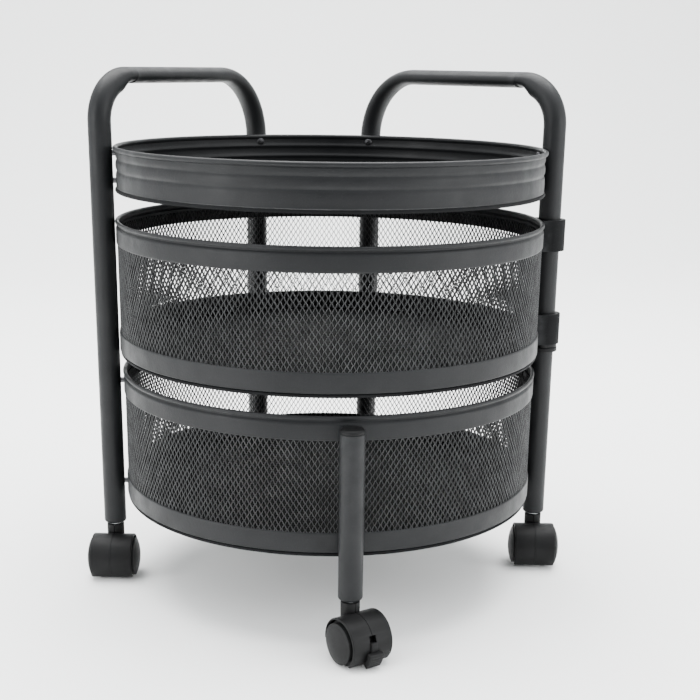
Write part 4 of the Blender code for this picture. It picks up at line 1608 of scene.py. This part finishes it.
    def stem_mesh(self) -> bpy.types.Mesh:
        """Make the stem with the flange that shows under the post."""
        low, high = LAYOUT.span(self.post.value + "_caster_stem")
        under = LAYOUT.span(self.post.value + "_caster_hood")[1] + self.touch_gap
        over = LAYOUT.span("front_leg")[0] - self.touch_gap
        outline = [(0.0, low), (self.stem_r, low), (self.stem_r, under)]
        edge = self.flange_r - self.flange_ease
        outline += [(edge, under), (self.flange_r, under + self.flange_ease),
                    (self.flange_r, over - self.flange_ease), (edge, over)]
        outline += [(self.stem_r, over), (self.stem_r, high - self.stem_ease),
                    (self.stem_r - self.stem_ease, high), (0.0, high)]
        return finished(revolve(outline, ORIGIN, self.turned_segments, closed=False),
                        self.post.value + "_stem")

    def put(self, name: str, mesh: bpy.types.Mesh, finish: bpy.types.Material, body: str,
            slot: Slot, node: str) -> None:
        """Move a mesh from the caster's own frame to its place, and place it."""
        mesh.transform(self.matrix())
        place(name, mesh, finish, body, (node,))

    def build(self, finishes: Finishes) -> None:
        """Build and place the caster."""
        post = self.post.value
        self.put(post + "_caster_plated_stem", self.stem_mesh(), finishes.steel, "frame",
                 Slot.STEEL, post + "_caster_stem")
        self.put(post + "_caster_moulded_hood", self.hood_mesh(), finishes.caster,
                 post + "_caster", Slot.CASTER, post + "_caster_hood")
        for side in ("outer", "inner"):
            self.put(f"{post}_caster_domed_wheel_{side}", self.wheel_mesh(side), finishes.wheel,
                     f"{post}_wheel_{side}", Slot.WHEEL, f"{post}_caster_wheel_{side}")
        dress_nodes([post + "_caster_axle"], finishes.steel)


@dataclass(frozen=True)
class BrakedCaster(Caster):
    """The front caster, whose hood has a slot for a brake lever with a ribbed tab."""

    slot_low: float = -75.0
    slot_high: float = 28.0
    lever_low: float = -25.0
    lever_high: float = 12.0
    lever_half_w: float = 0.0031
    lever_depth: float = 0.0058
    shank_reach: float = 0.0020
    tab_low: float = -40.0
    tab_high: float = -8.0
    tab_half_w: float = 0.0075
    tab_start: float = 0.0010
    tab_reach: float = 0.0062
    ribs: int = 5
    rib_r: float = 0.0006
    rib_margin: float = 0.0020
    shank_ease: float = 0.0004
    tab_ease: float = 0.0008

    def hood_mesh(self) -> bpy.types.Mesh:
        """Cut the lever's slot into the plain hood."""
        slot = self.sector(self.hood_r - self.lever_depth - self.touch_gap, 2 * self.hood_r,
                           self.slot_low, self.slot_high, self.lever_half_w + self.touch_gap)
        return combined(super().hood_mesh(), slot, "DIFFERENCE")

    def rib_mesh(self, finish: bpy.types.Material) -> bpy.types.Mesh:
        """Repeat a rib down the tab's outer face."""
        reach = self.hood_r + self.tab_reach - self.rib_r / 2
        step = (self.tab_high - self.tab_low) / (self.ribs + 1)
        tree = RepeatTree("brake_lever_ribs", {
            "Count": self.ribs, "Reach": reach, "First": math.radians(self.tab_low + step),
            "Step": math.radians(step), "Rib Radius": self.rib_r,
            "Rib Length": 2 * self.tab_half_w - self.rib_margin, "Trail": self.trail,
            "Height": self.wheel_r})
        points = tree.add("GeometryNodePoints", {"Count": tree.size("Count")}).outputs[0]
        index = tree.add("GeometryNodeInputIndex").outputs[0]
        angle = tree.maths("ADD", tree.size("First"),
                           tree.maths("MULTIPLY", index, tree.size("Step")))
        x = tree.maths("ADD", tree.size("Trail"),
                       tree.maths("MULTIPLY", tree.size("Reach"), tree.maths("COSINE", angle)))
        z = tree.maths("ADD", tree.size("Height"),
                       tree.maths("MULTIPLY", tree.size("Reach"), tree.maths("SINE", angle)))
        placed = tree.add("GeometryNodeSetPosition", {0: points, "Position":
                                                      tree.vector(x=x, z=z)}).outputs[0]
        rib = tree.add("GeometryNodeMeshCylinder", {
            "Vertices": 12, "Radius": tree.size("Rib Radius"),
            "Depth": tree.size("Rib Length")}).outputs[0]
        laid = tree.instances(placed, rib, tree.vector(x=math.pi / 2))
        return tree.run(laid, finish)

    def lever_mesh(self, finish: bpy.types.Material) -> bpy.types.Mesh:
        """Make the lever: curved shank, wide tab with eased edges, and its ribs."""
        shank = finished(self.sector(self.hood_r - self.lever_depth,
                                     self.hood_r + self.shank_reach, self.lever_low,
                                     self.lever_high, self.lever_half_w), "brake_lever")
        tab = finished(self.sector(self.hood_r + self.tab_start, self.hood_r + self.tab_reach,
                                   self.tab_low, self.tab_high, self.tab_half_w), "tab")
        whole = bmesh.new()
        for part in (eased(shank, self.shank_ease), eased(tab, self.tab_ease, 3),
                     self.rib_mesh(finish)):
            whole.from_mesh(part)
            bpy.data.meshes.remove(part)
        return finished(whole, "brake_lever")

    def build(self, finishes: Finishes) -> None:
        """Build and place the caster and its lever."""
        super().build(finishes)
        self.put("front_brake_ribbed_lever", self.lever_mesh(finishes.caster), finishes.caster,
                 "brake_lever", Slot.CASTER, "front_brake_lever")


# ---- Studio ----------------------------------------------------------------------------
@dataclass(frozen=True)
class Softbox:
    """One large soft light aimed at the cart."""

    name: str
    position: tuple[float, float, float]
    size: tuple[float, float]
    power: float
    aim: tuple[float, float, float] = (0.0, 0.0, 0.25)

    def build(self) -> None:
        """Add the light."""
        data = bpy.data.lights.new(self.name, "AREA")
        data.shape = "RECTANGLE"
        data.size = self.size[0]
        data.size_y = self.size[1]
        data.energy = self.power
        lamp = bpy.data.objects.new(self.name, data)
        lamp.location = self.position
        lamp.rotation_euler = (Vector(self.aim) - Vector(self.position)).to_track_quat(
            "-Z", "Y").to_euler()
        bpy.context.scene.collection.objects.link(lamp)


@dataclass(frozen=True)
class Studio:
    """Pale sweep, soft lights and the camera."""

    front: float = -3.0
    back: float = 3.2
    half_width: float = 5.0
    sweep_r: float = 1.2
    wall_height: float = 4.0
    ambient: float = 2.50
    ambient_dark: float = 0.14
    dark_towards: tuple[float, float, float] = (-0.24, -0.971, 0.0)
    dark_from: float = 0.68
    dark_to: float = 0.92
    ambient_colour: Colour = (0.96, 0.98, 1.0, 1.0)
    lights: tuple[Softbox, ...] = (
        Softbox("overhead_softbox", (0.0, 0.5, 2.6), (3.0, 2.4), 250.0),
        Softbox("left_softbox", (-1.9, -1.1, 0.75), (1.1, 1.4), 34.0),
        Softbox("right_softbox", (1.9, -1.1, 0.75), (1.1, 1.4), 24.0))
    eye: tuple[float, float, float] = (-0.1168, -1.2429, 0.5064)
    heading: float = 0.1110
    pitch: float = 0.2918
    roll: float = 0.01395
    lens: float = 66.34
    shift_up: float = 0.1429

    def build_sweep(self) -> None:
        """Add the paper: floor, curve and wall in one sheet."""
        profile = [(self.front, 0.0), (self.back - self.sweep_r, 0.0)]
        profile += arc((self.back - self.sweep_r, self.sweep_r), self.sweep_r, -90.0, 0.0, 24)
        profile += [(self.back, self.wall_height)]
        bm = bmesh.new()
        rows = [[bm.verts.new((x, y, z)) for x in (-self.half_width, self.half_width)]
                for y, z in profile]
        for lower, upper in zip(rows, rows[1:]):
            bm.faces.new((lower[0], lower[1], upper[1], upper[0]))
        mesh = finished(bm, "backdrop")
        mesh.materials.append(StudioPaper().material())
        paper = bpy.data.objects.new("backdrop", mesh)
        bpy.context.scene.collection.objects.link(paper)

    def build_world(self) -> None:
        """Fill the surroundings with pale light."""
        world = bpy.data.worlds.new("studio")
        world.use_nodes = True
        tree = world.node_tree
        back = tree.nodes["Background"]
        back.inputs["Color"].default_value = self.ambient_colour
        place_node = tree.nodes.new("ShaderNodeTexCoord")
        facing = tree.nodes.new("ShaderNodeVectorMath")
        facing.operation = "DOT_PRODUCT"
        facing.inputs[1].default_value = self.dark_towards
        fade = tree.nodes.new("ShaderNodeMapRange")
        fade.interpolation_type = "SMOOTHSTEP"
        values = (self.dark_from, self.dark_to, self.ambient, self.ambient_dark)
        for socket, value in zip(list(fade.inputs)[1:5], values):
            socket.default_value = value
        tree.links.new(place_node.outputs["Generated"], facing.inputs[0])
        tree.links.new(facing.outputs["Value"], fade.inputs[0])
        tree.links.new(fade.outputs[0], back.inputs["Strength"])
        bpy.context.scene.world = world

    def build_camera(self) -> None:
        """Add the camera."""
        data = bpy.data.cameras.new("camera")
        data.lens = self.lens
        data.shift_y = self.shift_up
        data.clip_start = 0.05
        camera = bpy.data.objects.new("camera", data)
        level = Vector((math.sin(self.heading), math.cos(self.heading), 0.0))
        look = level * math.cos(self.pitch) - UP * math.sin(self.pitch)
        aim = look.to_track_quat("-Z", "Y").to_matrix().to_4x4()
        camera.matrix_world = (Matrix.Translation(self.eye) @ aim
                               @ Matrix.Rotation(self.roll, 4, "Z"))
        bpy.context.scene.collection.objects.link(camera)
        bpy.context.scene.camera = camera

    def build(self) -> None:
        """Build the whole studio."""
        self.build_sweep()
        self.build_world()
        for light in self.lights:
            light.build()
        self.build_camera()


def main() -> None:
    """Build every sub-assembly in order."""
    logging.basicConfig(level=logging.INFO, format="%(name)s: %(message)s")
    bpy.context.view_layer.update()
    Studio().build()
    finishes = Finishes.build()
    Tray().build(finishes)
    for name, body in (("swing_basket", "swing_basket"), ("bottom_basket", "frame")):
        Basket(name, body).build(finishes)
    HandlePair(Post.LEFT, Post.BACK_LEFT).build(finishes)
    HandlePair(Post.RIGHT, Post.BACK_RIGHT).build(finishes)
    FrontLeg().build(finishes)
    Studs().build(finishes)
    SwingHinge().build(finishes)
    for post in (Post.LEFT, Post.RIGHT, Post.BACK_LEFT, Post.BACK_RIGHT):
        Caster(post).build(finishes)
    BrakedCaster(Post.FRONT).build(finishes)


if __name__ == "__main__":
    main()
